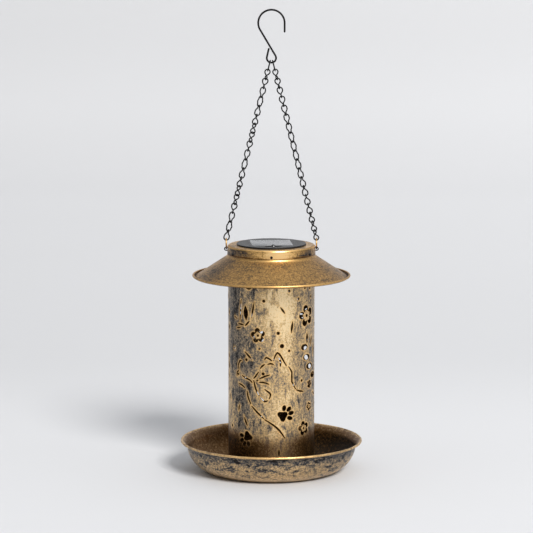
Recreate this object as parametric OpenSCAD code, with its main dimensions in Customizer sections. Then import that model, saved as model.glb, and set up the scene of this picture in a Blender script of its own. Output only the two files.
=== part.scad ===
// Hanging lantern bird feeder: S-hook, two twist-link chains, sheet roof, punched cylinder,
// seed tray and a drop-in solar lighting unit. Millimetres, +Z up.
// The origin is where the hook bears on whatever holds it. Heights named *_z below are
// measured up from the tray's underside and are moved to that origin by hung().

/* [Cylinder] */
// Outer diameter of the punched cylinder
cyl_d = 99.4; // [95:0.1:104]
// Sheet thickness of the cylinder, collar, roof and tray
sheet = 0.7; // [0.5:0.1:1.0]
// Height of the cylinder's top edge
cyl_top_z = 258; // [256:0.5:258.5]

/* [Roof] */
// Outer diameter over the roof's rolled edge
roof_d = 182; // [170:1:200]
// Slope of the roof in degrees
roof_slope = 33.5; // [30:0.5:35]
// Diameter of the roof's rolled edge
roof_bead_d = 2.4; // [2:0.1:3]

/* [Collar] */
// Height of the collar's lower edge
collar_low_z = 253.8; // [253:0.1:254]
// Height of the collar's flat top
collar_top_z = 264; // [263.5:0.1:264.5]
// Diameter of the opening for the lighting unit
collar_hole_d = 71.4; // [71:0.1:73]
// Radius of the collar's shoulder
shoulder_r = 2.4; // [1:0.1:2.4]
// Diameter of the screw heads round the collar
collar_screw_head_d = 3.2; // [2.6:0.1:4]

/* [Tray] */
// Outer diameter over the tray's rolled edge
tray_d = 210; // [200:1:220]
// Radius of the tray's curved side
tray_curve_r = 33; // [31:1:34]
// Diameter of the tray's rolled edge
tray_bead_d = 2.6; // [2.2:0.1:3]
// Height by which the tray's middle is raised above its rest ring
tray_raise = 3; // [2.6:0.1:4]

/* [Hook and chains] */
// Wire diameter of the S-hook
hook_wire_d = 2.2; // [1.8:0.1:2.6]
// Radius of the hook's large bend, to the wire's middle
hook_bend_r = 15; // [13:0.5:16]
// Radius of the hook's closed eye, to the wire's middle
hook_eye_r = 5.3; // [4.8:0.1:5.6]
// Height of the middle of the hook's large bend
hook_bend_z = 518.2; // [515:0.1:522]
// Height of the middle of the hook's eye
hook_eye_z = 478.4; // [477.5:0.1:480]
// Wire diameter of the chain links
link_wire_d = 1.5; // [1.3:0.05:1.6]
// Width over one link
link_w = 7.6; // [7.2:0.1:8]
// Number of links on each side
link_count = 20; // [18:1:22]
// Turn of each left link past the one above, in degrees
left_turn = -26; // [-28:0.5:-24]
// Turn of each right link past the one above, in degrees
right_turn = -7.5; // [-9:0.5:-4]
// Wire diameter of the two rings
ring_wire_d = 1.6; // [1.4:0.1:1.8]
// Radius of the rings, to the wire's middle
ring_r = 5.9; // [5.4:0.1:6.2]

/* [Lighting unit] */
// Diameter of the moulded lid
lid_d = 80; // [78:0.5:84]
// Side of the square cell plate
panel_w = 47; // [44:0.5:48]
// Turn of the lid in its collar, in degrees
lid_turn = 5; // [0:1:30]
// Diameter of the battery cell
cell_d = 14.2; // [14:0.1:14.5]
// Length of the battery cell
cell_l = 49; // [48:0.5:50]

/* [Hidden] */
$fn = 64;

black = "#1c1b1a";
bronze = "#8a6a3c";
dark_bronze = "#4d3c26";
gold = "#c99a4f";

gap = 0.3;           // clearance between pieces that move on each other
link_gap = 0.12;     // clearance between neighbouring links
eps = 0.02;          // small overlap inside one solid
hang_z = hook_bend_z + hook_bend_r - hook_wire_d / 2;

cyl_r = cyl_d / 2;
collar_r = cyl_r + 0.2 + sheet;
collar_hole_r = collar_hole_d / 2;
screw_z = 256;       // height of the collar screws
screw_count = 6;

// Hanger eyes and rings
eye_wire_d = 1.2;
eye_z = 260.9;
ring_x = collar_r + gap + ring_wire_d / 2 + 0.1;
ring_low_z = eye_z - eye_wire_d / 2 - gap - ring_wire_d / 2;
ring_mid_z = ring_low_z + ring_r;
ring_top_z = ring_mid_z + ring_r;
eye_drop = eye_wire_d + 2 * gap + ring_wire_d + 0.2;

// Chain lines. The first link bears on the hook's eye and the last one on a ring.
first_r = hook_eye_r - hook_wire_d / 2 - gap - link_wire_d / 2;
first_a = 24;        // degrees round the eye from its lowest point
chain_start = [first_r * sin(first_a), hook_eye_z - first_r * cos(first_a)];
chain_run = [ring_x - chain_start[0], ring_top_z - chain_start[1]];
chain_lean = atan2(chain_run[0], -chain_run[1]);
last_reach = ring_wire_d / 2 + link_wire_d / 2 + gap;
chain_l = norm(chain_run) + last_reach;
link_bend_r = (link_w - link_wire_d) / 2;
// Distance between the middles of a link's two end wires. Each joint takes back one wire and one gap.
link_mid_l = (chain_l + (link_count - 1) * link_wire_d + gap + (link_count - 2) * link_gap) / link_count;
second_turn = 18;    // turn of the second link, the one that rolls in the top link, on both sides
left_first = 5;      // turn of the third left link
right_first = 10.5;  // turn of the third right link

module hung() translate([0, 0, -hang_z]) children();

// ---- wire and sheet helpers ----

// Straight wire between two points
module rod(p, q, d) {
    v = q - p;
    translate(p) rotate([0, acos(v[2] / norm(v)), atan2(v[1], v[0])])
        cylinder(h = norm(v), d = d, $fn = 32);
}

// Part of a wire ring in the XZ plane, from angle a0 through sweep degrees
module bend_xz(r, d, a0, sweep) {
    rotate([90, 0, 0]) rotate([0, 0, a0])
        rotate_extrude(angle = sweep, $fn = 48) translate([r, 0]) circle(d = d, $fn = 32);
}

function arc(c, r, a0, a1, n) = [for (i = [0:n]) let (a = a0 + (a1 - a0) * i / n) c + r * [cos(a), sin(a)]];

// Unit normal of a path at point i
function path_normal(p, i) =
    let (d = p[min(i + 1, len(p) - 1)] - p[max(i - 1, 0)]) [-d[1], d[0]] / norm(d);

// A path widened to both sides, as one closed outline
function widened(p, half) = concat(
    [for (i = [0:len(p) - 1]) p[i] + path_normal(p, i) * half],
    [for (i = [len(p) - 1:-1:0]) p[i] - path_normal(p, i) * half]
);

// ---- hook ----

eye_tilt = asin((hook_bend_r + hook_eye_r) / (hook_bend_z - hook_eye_z));
hook_leave_a = 180 + eye_tilt;             // where the large bend runs into the shank
hook_open_a = 167;                         // how far the eye is bent round
hook_tip_l = 9.3;
hook_nose_l = 9.8;

module s_hook() {
    big = [0, 0, hook_bend_z];
    small = [0, 0, hook_eye_z];
    leave = big + hook_bend_r * [cos(hook_leave_a), 0, sin(hook_leave_a)];
    land = small - hook_eye_r * [cos(hook_leave_a), 0, sin(hook_leave_a)];
    nose = big + [hook_bend_r, 0, 0];
    tip = small + hook_eye_r * [cos(hook_open_a), 0, sin(hook_open_a)];
    tip_way = [sin(hook_open_a), 0, -cos(hook_open_a)];
    color(black) hung() {
        translate(big) bend_xz(hook_bend_r, hook_wire_d, 0, hook_leave_a);
        rod(leave, land, hook_wire_d);
        translate(small) bend_xz(hook_eye_r, hook_wire_d, hook_open_a, hook_leave_a + 180 - hook_open_a);
        rod(nose, nose - [0, 0, hook_nose_l], hook_wire_d);
        rod(tip, tip + tip_way * hook_tip_l, hook_wire_d);
        for (p = [nose - [0, 0, hook_nose_l], tip + tip_way * hook_tip_l])
            translate(p) sphere(d = hook_wire_d, $fn = 32);
        for (p = [leave, land, nose, tip])
            translate(p) sphere(d = hook_wire_d + eps, $fn = 32);
    }
}

// ---- chain ----

// One link hanging from the origin: the middle of its top wire is there and it reaches down Z.
// The top bend is turned by `turn`, the bottom bend by `turn` plus `twist`.
module link(turn, twist) {
    low = -link_mid_l + link_bend_r;
    translate([0, 0, -link_bend_r]) rotate([0, 0, turn]) bend_xz(link_bend_r, link_wire_d, 0, 180);
    translate([0, 0, low]) rotate([0, 0, turn + twist]) bend_xz(link_bend_r, link_wire_d, 180, 180);
    for (s = [0, 180]) {
        a = link_bend_r * [cos(turn + s), sin(turn + s), 0] - [0, 0, link_bend_r];
        b = link_bend_r * [cos(turn + twist + s), sin(turn + twist + s), 0] + [0, 0, low];
        rod(a, b, link_wire_d);
        translate(a) sphere(d = link_wire_d + eps, $fn = 32);
        translate(b) sphere(d = link_wire_d + eps, $fn = 32);
    }
}

// Distance down the chain to the top wire of link i, from 1 on; the top link is 0
function link_at(i) = i * (link_mid_l - link_wire_d) - gap - (i - 1) * link_gap;

// Places children on the chain line of one side, +1 right and -1 left
module chain_line(side) {
    hung() translate([side * chain_start[0], 0, chain_start[1]]) rotate([0, -side * chain_lean, 0])
        children();
}

module top_link(side) {
    color(black) chain_line(side) link(90, 0);
}

module chain(side, first, step) {
    color(black) chain_line(side)
        for (i = [1:link_count - 1])
            translate([0, 0, -link_at(i)]) link(i == 1 ? second_turn : first + step * (i - 2), 90);
}

module left_top_link() top_link(-1);
module right_top_link() top_link(1);
module left_chain() chain(-1, left_first, left_turn);
module right_chain() chain(1, right_first, right_turn);

// ---- rings and the eyes they hang in ----

module ring(side) {
    color(gold) hung() translate([side * ring_x, 0, ring_mid_z]) rotate([0, 90, 0])
        rotate_extrude($fn = 64) translate([ring_r, 0]) circle(d = ring_wire_d, $fn = 32);
}
module left_ring() ring(-1);
module right_ring() ring(1);

// A wire staple whose upper leg is the pin that a ring turns on
module hanger_eye() {
    out_x = ring_x + 0.2;
    in_x = collar_r - sheet - 2.5;
    mid = [out_x, 0, eye_z - eye_drop / 2];
    translate(mid) bend_xz(eye_drop / 2, eye_wire_d, -90, 180);
    for (z = [eye_z, eye_z - eye_drop]) {
        rod([in_x, 0, z], [out_x, 0, z], eye_wire_d);
        translate([out_x, 0, z]) sphere(d = eye_wire_d + eps, $fn = 32);
        translate([in_x, 0, z]) rotate([0, 90, 0]) cylinder(h = 0.8, d = eye_wire_d + 1.2, $fn = 32);
    }
}

module hanger_eyes() {
    color(black) hung() for (s = [0, 180]) rotate([0, 0, s]) hanger_eye();
}

// ---- collar and roof ----

module each_screw(count, first = 0) {
    for (i = [0:count - 1]) rotate([0, 0, first + i * 360 / count]) children();
}

module roof_collar() {
    in_r = collar_r - sheet;
    outline = concat(
        [[in_r, collar_low_z], [collar_r, collar_low_z]],
        arc([collar_r - shoulder_r, collar_top_z - shoulder_r], shoulder_r, 0, 90, 6),
        [[collar_hole_r, collar_top_z], [collar_hole_r, collar_top_z - sheet]],
        arc([collar_r - shoulder_r, collar_top_z - shoulder_r], shoulder_r - sheet, 90, 0, 6)
    );
    color(bronze) hung() difference() {
        rotate_extrude($fn = 96) polygon(outline);
        each_screw(screw_count) translate([0, -collar_r + 2, screw_z]) rotate([90, 0, 0])
            cylinder(h = 4, d = 2.1, $fn = 24);
        for (s = [0, 180], z = [eye_z, eye_z - eye_drop]) rotate([0, 0, s])
            translate([in_r - 1, 0, z]) rotate([0, 90, 0]) cylinder(h = 3, d = eye_wire_d + 0.1, $fn = 24);
    }
}

module collar_screws() {
    color(dark_bronze) hung() each_screw(screw_count) translate([0, -collar_r, screw_z]) {
        difference() {
            rotate([90, 0, 0])
                cylinder(h = 1, d1 = collar_screw_head_d, d2 = collar_screw_head_d - 0.8, $fn = 32);
            for (a = [0, 90]) translate([0, -0.9, 0]) rotate([0, a, 0])
                cube([1.9, 0.9, 0.5], center = true);
        }
        rotate([-90, 0, 0]) cylinder(h = 4.5, d = 2, $fn = 24);
    }
}

// Roof section: neck under the collar, fillet, straight slope, gutter and rolled edge
neck_r = cyl_r + 0.2 + sheet / 2;
neck_fillet = 4;
roof_low_r = roof_d / 2 - roof_bead_d - 1.4;
gutter_r = 1.5;
roof_fillet_c = [neck_r + neck_fillet, collar_low_z - 0.2];
roof_slope_start = roof_fillet_c + neck_fillet * [cos(270 - roof_slope), sin(270 - roof_slope)];
roof_low_z = roof_slope_start[1] - (roof_low_r - roof_slope_start[0]) * tan(roof_slope);
gutter_c = [roof_low_r, roof_low_z] + gutter_r * [sin(roof_slope), cos(roof_slope)];
roof_bead_c = [roof_d / 2 - roof_bead_d / 2, gutter_c[1] + 0.3];

module roof_canopy() {
    middle = concat(
        [[neck_r, collar_low_z]],
        arc(roof_fillet_c, neck_fillet, 180, 270 - roof_slope, 5),
        arc(gutter_c, gutter_r, 270 - roof_slope, 340, 5)
    );
    color(bronze) hung() union() {
        rotate_extrude($fn = 128) polygon(widened(middle, sheet / 2));
        rotate_extrude($fn = 128) translate(roof_bead_c) circle(d = roof_bead_d, $fn = 32);
    }
}

// ---- cut-outs of the cylinder ----

punch = 6;    // how far a cutter reaches to each side of the wall

// A flat cutter at azimuth a (0 at the front, growing towards +X) and height z
module cut_at(a, z, turn = 0) {
    rotate([0, 0, a]) translate([0, -cyl_r + punch, z]) rotate([90, 0, 0])
        linear_extrude(2 * punch) rotate(turn) children();
}

function ellipse_pts(rx, ry, n = 12) = [for (i = [0:n - 1]) [rx * cos(360 * i / n), ry * sin(360 * i / n)]];

// Leaf-shaped slit of length l and width w
function leaf_pts(l, w, n = 5) = concat(
    [for (i = [0:n]) [w / 2 * sin(180 * i / n), l * (i / n - 0.5)]],
    [for (i = [n - 1:-1:1]) [-w / 2 * sin(180 * i / n), l * (i / n - 0.5)]]
);

// Smooth curve through hand-chosen points
function curve_pt(a, b, c, d, t) =
    0.5 * (2 * b + (c - a) * t + (2 * a - 5 * b + 4 * c - d) * t * t + (3 * b - a - 3 * c + d) * t * t * t);
function smooth(p, n = 2) = let (m = len(p) - 1) concat(
    [for (i = [0:m - 1], k = [0:n - 1])
        curve_pt(p[max(i - 1, 0)], p[i], p[i + 1], p[min(i + 2, m)], k / n)],
    [p[m]]
);

// A stroke w wide that thins towards both ends
function stroke_half(w, t) = w / 2 * (0.35 + 0.65 * sin(180 * t));
function stroke_pts(p, w) = let (m = len(p) - 1) concat(
    [for (i = [0:m]) p[i] + path_normal(p, i) * stroke_half(w, i / m)],
    [for (i = [m:-1:0]) p[i] - path_normal(p, i) * stroke_half(w, i / m)]
);

// Cuts a stroke through points [azimuth, height]
module line_cut(points, w = 1.1) {
    a_mid = (min([for (p = points) p[0]]) + max([for (p = points) p[0]])) / 2;
    flat_pts = [for (p = points) [cyl_r * sin(p[0] - a_mid), p[1]]];
    cut_at(a_mid, 0) polygon(stroke_pts(smooth(flat_pts), w));
}

module dot_cut(a, z, d) cut_at(a, z) circle(d = d, $fn = 24);
module oval_cut(a, z, w, h) cut_at(a, z) polygon(ellipse_pts(w / 2, h / 2, 20));
module leaf_cut(a, z, l, w, turn) cut_at(a, z, turn) polygon(leaf_pts(l, w));

// Five petals, each a crescent open towards the middle, round a dot
module flower_cut(a, z, r, turn = 0) {
    cut_at(a, z, turn) {
        circle(r = r * 0.14, $fn = 16);
        for (i = [0:4]) rotate(i * 72) difference() {
            translate([0, r * 0.66]) circle(r = r * 0.34, $fn = 24);
            translate([0, r * 0.36]) circle(r = r * 0.2, $fn = 24);
        }
    }
}

// A pad and four toes
module paw_cut(a, z, s, turn) {
    cut_at(a, z, turn) {
        polygon([for (t = [0:24:336]) s * (0.42 - 0.1 * cos(3 * (t + 90))) * [cos(t) * 1.05, sin(t)]]);
        for (t = [-49, -15, 15, 49])
            translate(s * (0.9 - 0.0035 * abs(t)) * [sin(t), cos(t)]) rotate(-t)
                polygon(ellipse_pts(s * 0.18, s * 0.27));
    }
}

// Two folded wings over a short body with feelers: [sideways, up, turn, length, width]
butterfly_leaves = [
    [-0.52, 0.1, -4, 1.7, 0.13], [0, 0, 4, 1.15, 0.4], [0.62, 0.26, -10, 1.3, 0.12],
    [-0.46, -0.92, 84, 0.66, 0.12], [0.14, -0.8, -45, 0.62, 0.13],
    [-1.06, -0.46, 62, 0.4, 0.1], [-0.72, -1.2, -78, 0.5, 0.1]
];
module butterfly_cut(a, z, s) {
    cut_at(a, z) for (l = butterfly_leaves)
        translate([l[0], l[1]] * s) rotate(l[2]) polygon(leaf_pts(s * l[3], s * l[4]));
}

// A resting cat in a few strokes, [azimuth, height]
cat_strokes = [
    [[3, 137], [4.5, 142], [8, 146.5], [12, 143], [16, 137], [20, 131]],
    [[9.5, 141], [12, 136], [11.6, 130]],
    [[-9, 138], [-7, 141], [-2, 139], [1, 137]],
    [[-15, 128], [-12, 131], [-9, 133]],
    [[-5, 133], [-1, 134], [3, 133]],
    [[-24, 116], [-21, 119], [-17, 124]],
    [[23, 130], [28, 123], [28, 112], [34, 103]],
    [[35, 102], [41, 100], [47, 99]],
    [[-16, 116], [-9, 119], [-2, 121]],
    [[-16, 112], [-10, 112], [-3, 110]],
    [[-24, 114], [-21, 104], [-16, 96]],
    [[-15, 95], [-9, 90], [-5, 91]],
    [[-3, 93], [-1, 98], [-4, 101], [-9, 104]]
];

// A puppy's ear, brow and long flowing back
puppy_strokes = [
    [[-48, 124], [-49, 130], [-46, 135], [-43, 135]],
    [[-52, 116], [-52, 121], [-48, 123]],
    [[-48, 108], [-43, 107], [-37, 104]],
    [[-42, 118], [-37, 116], [-30, 114], [-26, 111]],
    [[-34, 101], [-32, 93], [-28, 86]],
    [[-27, 84], [-19, 77], [-10, 70]],
    [[-9, 69], [2, 63], [11, 56], [18, 47]]
];

// [azimuth, height, diameter]
dots = [
    [-10, 206, 3], [24, 217, 2.6], [38, 207, 2.8], [65, 207, 2.6], [9, 169, 3.4], [14, 154, 4.6],
    [24, 148, 2.6], [-35, 137, 3], [-16, 151, 2.4], [44, 112, 2.8], [-64, 57, 2.8], [-58, 148, 2.8],
    [-11, 122, 3.2], [-19, 114, 2], [-49, 119, 2.4],
    [82, 173, 5], [85, 80, 4],
    [50, 219, 3.4], [62, 217, 2.6], [-31.5, 222.5, 8.4]
];

// [azimuth, height, width, height of the opening]
ovals = [[49.5, 150, 11, 7], [54, 138, 12, 6.6], [61, 127, 13, 7], [72, 115.5, 13, 6.6]];

// [azimuth, height, length, width, turn]
leaves = [
    [15, 195, 9.5, 1.8, 35], [28, 175, 13.5, 2.4, -8], [-32, 142, 13.5, 2.2, 48], [-48, 80, 8, 1.8, -12],
    [-36, 65, 11, 2, 24], [55, 160, 13, 3.8, 0], [66, 156, 11, 2.6, -14], [74, 145, 13, 3, -6],
    [76, 93, 9, 2.2, 60], [80, 64, 9, 2.4, 10], [-86, 205, 9, 6, 0], [-76, 188, 6, 3.6, 10],
    [-75, 171, 7, 3, -8], [-77, 137, 6, 3.4, 0], [-77, 126, 9, 4.4, 12], [-78, 114, 8, 3.4, 0],
    [-70, 90, 8, 1.8, 20], [10, 30, 8, 1.8, 0], [60, 32, 8, 1.8, -20]
];

module motifs() {
    for (d = dots) dot_cut(d[0], d[1], d[2]);
    for (v = ovals) oval_cut(v[0], v[1], v[2], v[3]);
    for (l = leaves) leaf_cut(l[0], l[1], l[2], l[3], l[4]);
    for (s = cat_strokes) line_cut(s, 1.7);
    for (s = puppy_strokes) line_cut(s, 1.7);
    butterfly_cut(-36, 191, 15);
    flower_cut(-18, 166, 8.5, 8);
    flower_cut(54, 186.2, 12.3, 12);
    flower_cut(48, 56, 8.2, 13);
    flower_cut(60, 80, 5, 20);
    paw_cut(15, 73, 12.5, -60);
    paw_cut(-33, 48, 12, 137);
    paw_cut(60, 104, 6, -20);
}

// Holes at the back only, level with a downward look through the large ones at the front
back_ovals = [[-54.5, 137.4, 8.6, 6.4], [-55.5, 127.2, 8.6, 6.2], [-65, 118, 9, 6.4]];

foot_count = 3;
foot_r = cyl_r - 8;     // where the tray screws stand
foot_z = tray_raise + sheet;

// Lets the lower leg of a hanger eye pass through the cylinder's top edge
module eye_notch() {
    w = eye_wire_d + 2 * gap;
    translate([cyl_r - 3, -w / 2, eye_z - eye_drop - w / 2]) cube([6, w, 4]);
}

module punched_cylinder() {
    color(bronze) hung() {
        difference() {
            translate([0, 0, foot_z]) difference() {
                cylinder(h = cyl_top_z - foot_z, r = cyl_r, $fn = 128);
                translate([0, 0, -1]) cylinder(h = cyl_top_z, r = cyl_r - sheet, $fn = 128);
            }
            for (s = [0, 180]) rotate([0, 0, s]) motifs();
            rotate([0, 0, 180]) for (v = back_ovals) oval_cut(v[0], v[1], v[2], v[3]);
            for (s = [0, 180]) rotate([0, 0, s]) eye_notch();
            each_screw(screw_count) translate([0, -cyl_r + 3, screw_z]) rotate([90, 0, 0])
                cylinder(h = 6, d = 2.1, $fn = 24);
        }
        // Feet bent inwards, each with a screw hole
        each_screw(foot_count, 30) difference() {
            translate([-6, -cyl_r + sheet / 2, foot_z]) cube([12, 13, sheet]);
            translate([0, -foot_r, foot_z - 1]) cylinder(h = 3, d = 3.4, $fn = 24);
        }
    }
}

// ---- tray ----

tray_curve_c = [tray_d / 2 - 7 - tray_curve_r, tray_curve_r];
tray_rise_r = 60;       // inside this radius the floor is raised
rest_r = tray_rise_r + 1;  // the flat rest ring starts here
tray_bead_c = [tray_d / 2 - tray_bead_d / 2, tray_curve_r + 2.3];
drain_count = 6;
drain_r = 53.4;

module feed_tray() {
    mid = sheet / 2;
    middle = concat(
        [[0, tray_raise + mid], [tray_rise_r - 3, tray_raise + mid], [tray_rise_r, mid]],
        [[rest_r - 0.4, mid], [rest_r, mid], [tray_curve_c[0] - 0.4, mid]],
        arc(tray_curve_c, tray_curve_r - mid, 270, 352, 14),
        [[tray_d / 2 - 5.6, tray_curve_r - 0.2], [tray_d / 2 - tray_bead_d, tray_bead_c[1]]]
    );
    color(bronze) hung() difference() {
        rotate_extrude($fn = 128) {
            polygon(concat(
                [[0, tray_raise]],
                [for (i = [1:len(middle) - 1]) middle[i] - path_normal(middle, i) * mid],
                [for (i = [len(middle) - 1:-1:1]) middle[i] + path_normal(middle, i) * mid],
                [[0, tray_raise + sheet]]
            ));
            translate(tray_bead_c) circle(d = tray_bead_d, $fn = 32);
        }
        each_screw(foot_count, 30) translate([0, -foot_r, 0]) cylinder(h = 6, d = 3.3, $fn = 24);
        each_screw(drain_count) translate([0, -drain_r, 0]) cylinder(h = 6, d = 3, $fn = 24);
    }
}

screw_head_h = 1.8;

module tray_screws() {
    color("silver") hung() each_screw(foot_count, 30) translate([0, -foot_r, 0]) difference() {
        union() {
            translate([0, 0, tray_raise - screw_head_h])
                cylinder(h = screw_head_h, d1 = 4.4, d2 = 5.6, $fn = 32);
            translate([0, 0, tray_raise - eps]) cylinder(h = 8, d = 2.9, $fn = 24);
        }
        for (a = [0, 90]) rotate(a) translate([-1.6, -0.35, 0])
            cube([3.2, 0.7, tray_raise - screw_head_h + 0.9]);
    }
}

module tray_nuts() {
    color("silver") hung() each_screw(foot_count, 30)
        translate([0, -foot_r, foot_z + sheet]) difference() {
            cylinder(h = 2.4, d = 6.2, $fn = 6);
            translate([0, 0, -1]) cylinder(h = 5, d = 3, $fn = 24);
        }
}

// ---- lighting unit ----

lid_z = collar_top_z + 0.1;
lid_h = 1.7;
lid_top_z = lid_z + lid_h;
skirt_r = collar_hole_r - 0.5;
wall = 1.6;
floor_z = lid_z - 14;            // underside of the base cover
floor_t = 1.6;
deck_t = 3.2;                    // thickness of the lid's middle
well_w = cell_d + 4.2;
well_l = cell_l + 6.6;
cell_z = floor_z - 5.2;
well_low_z = cell_z - cell_d / 2 - 0.6;
door_t = 1.5;
post_r = skirt_r - 5;
panel_y = 2.5;
panel_t = 1.1;
sensor_y = panel_y - panel_w / 2 - 4;
sensor_set = 1;                  // depth that the sensor's bar is let into the lid

module unit() hung() rotate([0, 0, lid_turn]) children();

module solar_housing() {
    lid_r = lid_d / 2;
    color(black) unit() {
        difference() {
            rotate_extrude($fn = 128) polygon(concat(
                [[0, lid_top_z - deck_t], [skirt_r - wall, lid_top_z - deck_t],
                 [skirt_r - wall, floor_z + floor_t], [skirt_r, floor_z + floor_t],
                 [skirt_r, lid_z], [lid_r, lid_z]],
                arc([lid_r - 0.8, lid_top_z - 0.8], 0.8, 0, 90, 4),
                [[0, lid_top_z]]
            ));
            translate([-panel_w / 2 - 0.2, panel_y - panel_w / 2 - 0.2, lid_top_z - panel_t])
                cube([panel_w + 0.4, panel_w + 0.4, 3]);
            translate([0, sensor_y, lid_top_z - sensor_set]) sensor_bar(sensor_set + 1, 3.2);
            translate([0, 0, lid_z - 1]) difference() {
                cylinder(h = 1.8, r = lid_r - 1.2, $fn = 96);
                translate([0, 0, -1]) cylinder(h = 4, r = lid_r - 3.4, $fn = 96);
            }
        }
        for (a = [45:90:315]) rotate(a) translate([post_r, 0, floor_z + floor_t]) difference() {
            cylinder(h = lid_top_z - deck_t - floor_z - floor_t + eps, d = 5.6, $fn = 32);
            translate([0, 0, -1]) cylinder(h = 8, d = 2.3, $fn = 24);
        }
        // Posts that the circuit board hangs from
        for (x = [-12, 12]) translate([x, led_y + 3, board_z + board_t])
            cylinder(h = lid_top_z - deck_t - board_z - board_t + eps, d = 3, $fn = 24);
    }
}

module solar_panel() {
    color("#2b3140") unit() translate([-panel_w / 2, panel_y - panel_w / 2, lid_top_z - panel_t])
        cube([panel_w, panel_w, panel_t]);
}

// A bar with round ends
module sensor_bar(h, w) {
    linear_extrude(h) {
        square([16, w], center = true);
        for (x = [-8, 8]) translate([x, 0]) circle(d = w, $fn = 32);
    }
}

// A lens cap of radius lens_r and height lens_h on a bar that is let into the lid
module dusk_sensor() {
    lens_r = 2.8;
    lens_h = 2.1;
    ball_r = (lens_r * lens_r + lens_h * lens_h) / (2 * lens_h);
    color("#101012") unit() translate([0, sensor_y, lid_top_z]) {
        translate([0, 0, -sensor_set]) sensor_bar(sensor_set + 0.8, 3);
        intersection() {
            translate([0, 0, lens_h - ball_r]) sphere(r = ball_r, $fn = 48);
            cylinder(h = lens_h + 1, r = ball_r + 1, $fn = 48);
        }
    }
}

module lid_gasket() {
    color("#2a2a2a") unit() translate([0, 0, collar_top_z]) difference() {
        cylinder(h = 0.85, r = lid_d / 2 - 1.4, $fn = 96);
        translate([0, 0, -1]) cylinder(h = 4, r = lid_d / 2 - 3.2, $fn = 96);
    }
}

board_z = floor_z + floor_t + 6;
board_t = 1.2;
led_y = 21;

module circuit_board() {
    color("#2f6b3a") unit() translate([-15, led_y - 8, board_z]) cube([30, 14, board_t]);
}

module led_lamp() {
    color("#f4f1e4") unit() translate([0, led_y, 0]) {
        translate([0, 0, floor_z - 4]) {
            cylinder(h = 5.6, d = 5, $fn = 48);
            sphere(d = 5, $fn = 48);
        }
        translate([0, 0, floor_z + floor_t]) cylinder(h = 1, d = 5.8, $fn = 48);
        for (x = [-1.27, 1.27]) translate([x, 0, floor_z + floor_t + 0.9])
            cylinder(h = board_z - floor_z - floor_t - 0.9, d = 0.6, $fn = 16);
    }
}

slot_y = -20;
slider_travel = 4;

module base_cover() {
    color(black) unit() {
        difference() {
            union() {
                translate([0, 0, floor_z]) cylinder(h = floor_t, r = skirt_r, $fn = 128);
                translate([-well_l / 2, -well_w / 2, well_low_z])
                    cube([well_l, well_w, floor_z - well_low_z + eps]);
            }
            translate([-well_l / 2 + 1.6, -well_w / 2 + 1.6, well_low_z - 1])
                cube([well_l - 3.2, well_w - 3.2, floor_z + floor_t - well_low_z + 2]);
            translate([0, led_y, floor_z - 1]) cylinder(h = 4, d = 5.2, $fn = 32);
            translate([-4.5, slot_y - 2, floor_z - 1]) cube([9, 4, 4]);
            for (a = [45:90:315]) rotate(a) translate([post_r, 0, floor_z - 1])
                cylinder(h = 4, d = 2.4, $fn = 24);
        }
        // Roof of the battery well
        translate([-well_l / 2 + 1.6 - eps, -well_w / 2 + 1.6 - eps, cell_z + cell_d / 2 + 0.4])
            cube([well_l - 3.2 + 2 * eps, well_w - 3.2 + 2 * eps, 1.2]);
        for (s = [-1, 1]) translate([-well_l / 2 + 1.6 - eps, s * (well_w / 2 - 2.1) - 0.5, floor_z + eps])
            cube([well_l - 3.2 + 2 * eps, 1, cell_z + cell_d / 2 + 0.6 - floor_z]);
        // Rails that the door runs on
        for (s = [-1, 1]) translate([-well_l / 2, s * (well_w / 2 + 0.5) - 0.5, well_low_z - door_t - 0.9])
            cube([well_l, 1, door_t + 2.6]);
        for (s = [-1, 1]) translate([-well_l / 2, s * (well_w / 2 + 0.1) - 0.9, well_low_z - door_t - 0.9])
            cube([well_l, 1.8, 0.6]);
    }
}

module housing_screws() {
    color("silver") unit() for (a = [45:90:315]) rotate(a) translate([post_r, 0, floor_z]) difference() {
        union() {
            translate([0, 0, -1.4]) cylinder(h = 1.4, d1 = 3.4, d2 = 4.4, $fn = 32);
            translate([0, 0, -eps]) cylinder(h = 7.5, d = 2.2, $fn = 24);
        }
        for (b = [0, 90]) rotate(b) translate([-1.2, -0.3, -2]) cube([2.4, 0.6, 1.3]);
    }
}

module battery() {
    color("#7d8f6a") unit() translate([0, 0, cell_z]) rotate([0, 90, 0]) {
        translate([0, 0, -cell_l / 2 + 0.6]) cylinder(h = cell_l - 1.8, d = cell_d, $fn = 64);
        translate([0, 0, cell_l / 2 - 1.3]) cylinder(h = 1.2, d = 5.5, $fn = 32);
    }
}

module battery_spring() {
    x0 = -well_l / 2 + 1.6;
    coils = 3;
    coil_step = (-cell_l / 2 + 0.6 - x0 - 0.4 - 0.7) / coils;
    color("silver") unit() translate([x0, 0, cell_z]) rotate([0, 90, 0]) {
        translate([-5, -4.5, 0]) cube([10, 9, 0.4]);
        for (i = [0:coils - 1]) translate([0, 0, 0.7 + i * coil_step]) rotate_extrude($fn = 48)
            translate([4 - i * 0.5, 0]) circle(d = 0.8, $fn = 24);
        cylinder(h = 0.7 + coils * coil_step - 0.2, d = 5.6, $fn = 32);
    }
}

module battery_plate() {
    color("silver") unit() translate([well_l / 2 - 1.6, 0, cell_z]) rotate([0, -90, 0]) {
        translate([-5, -4.5, 0]) cube([10, 9, 0.4]);
        cylinder(h = well_l / 2 - 1.6 - cell_l / 2 + 0.1 - 0.05, d = 3, $fn = 32);
    }
}

lead_d = 1;

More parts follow.
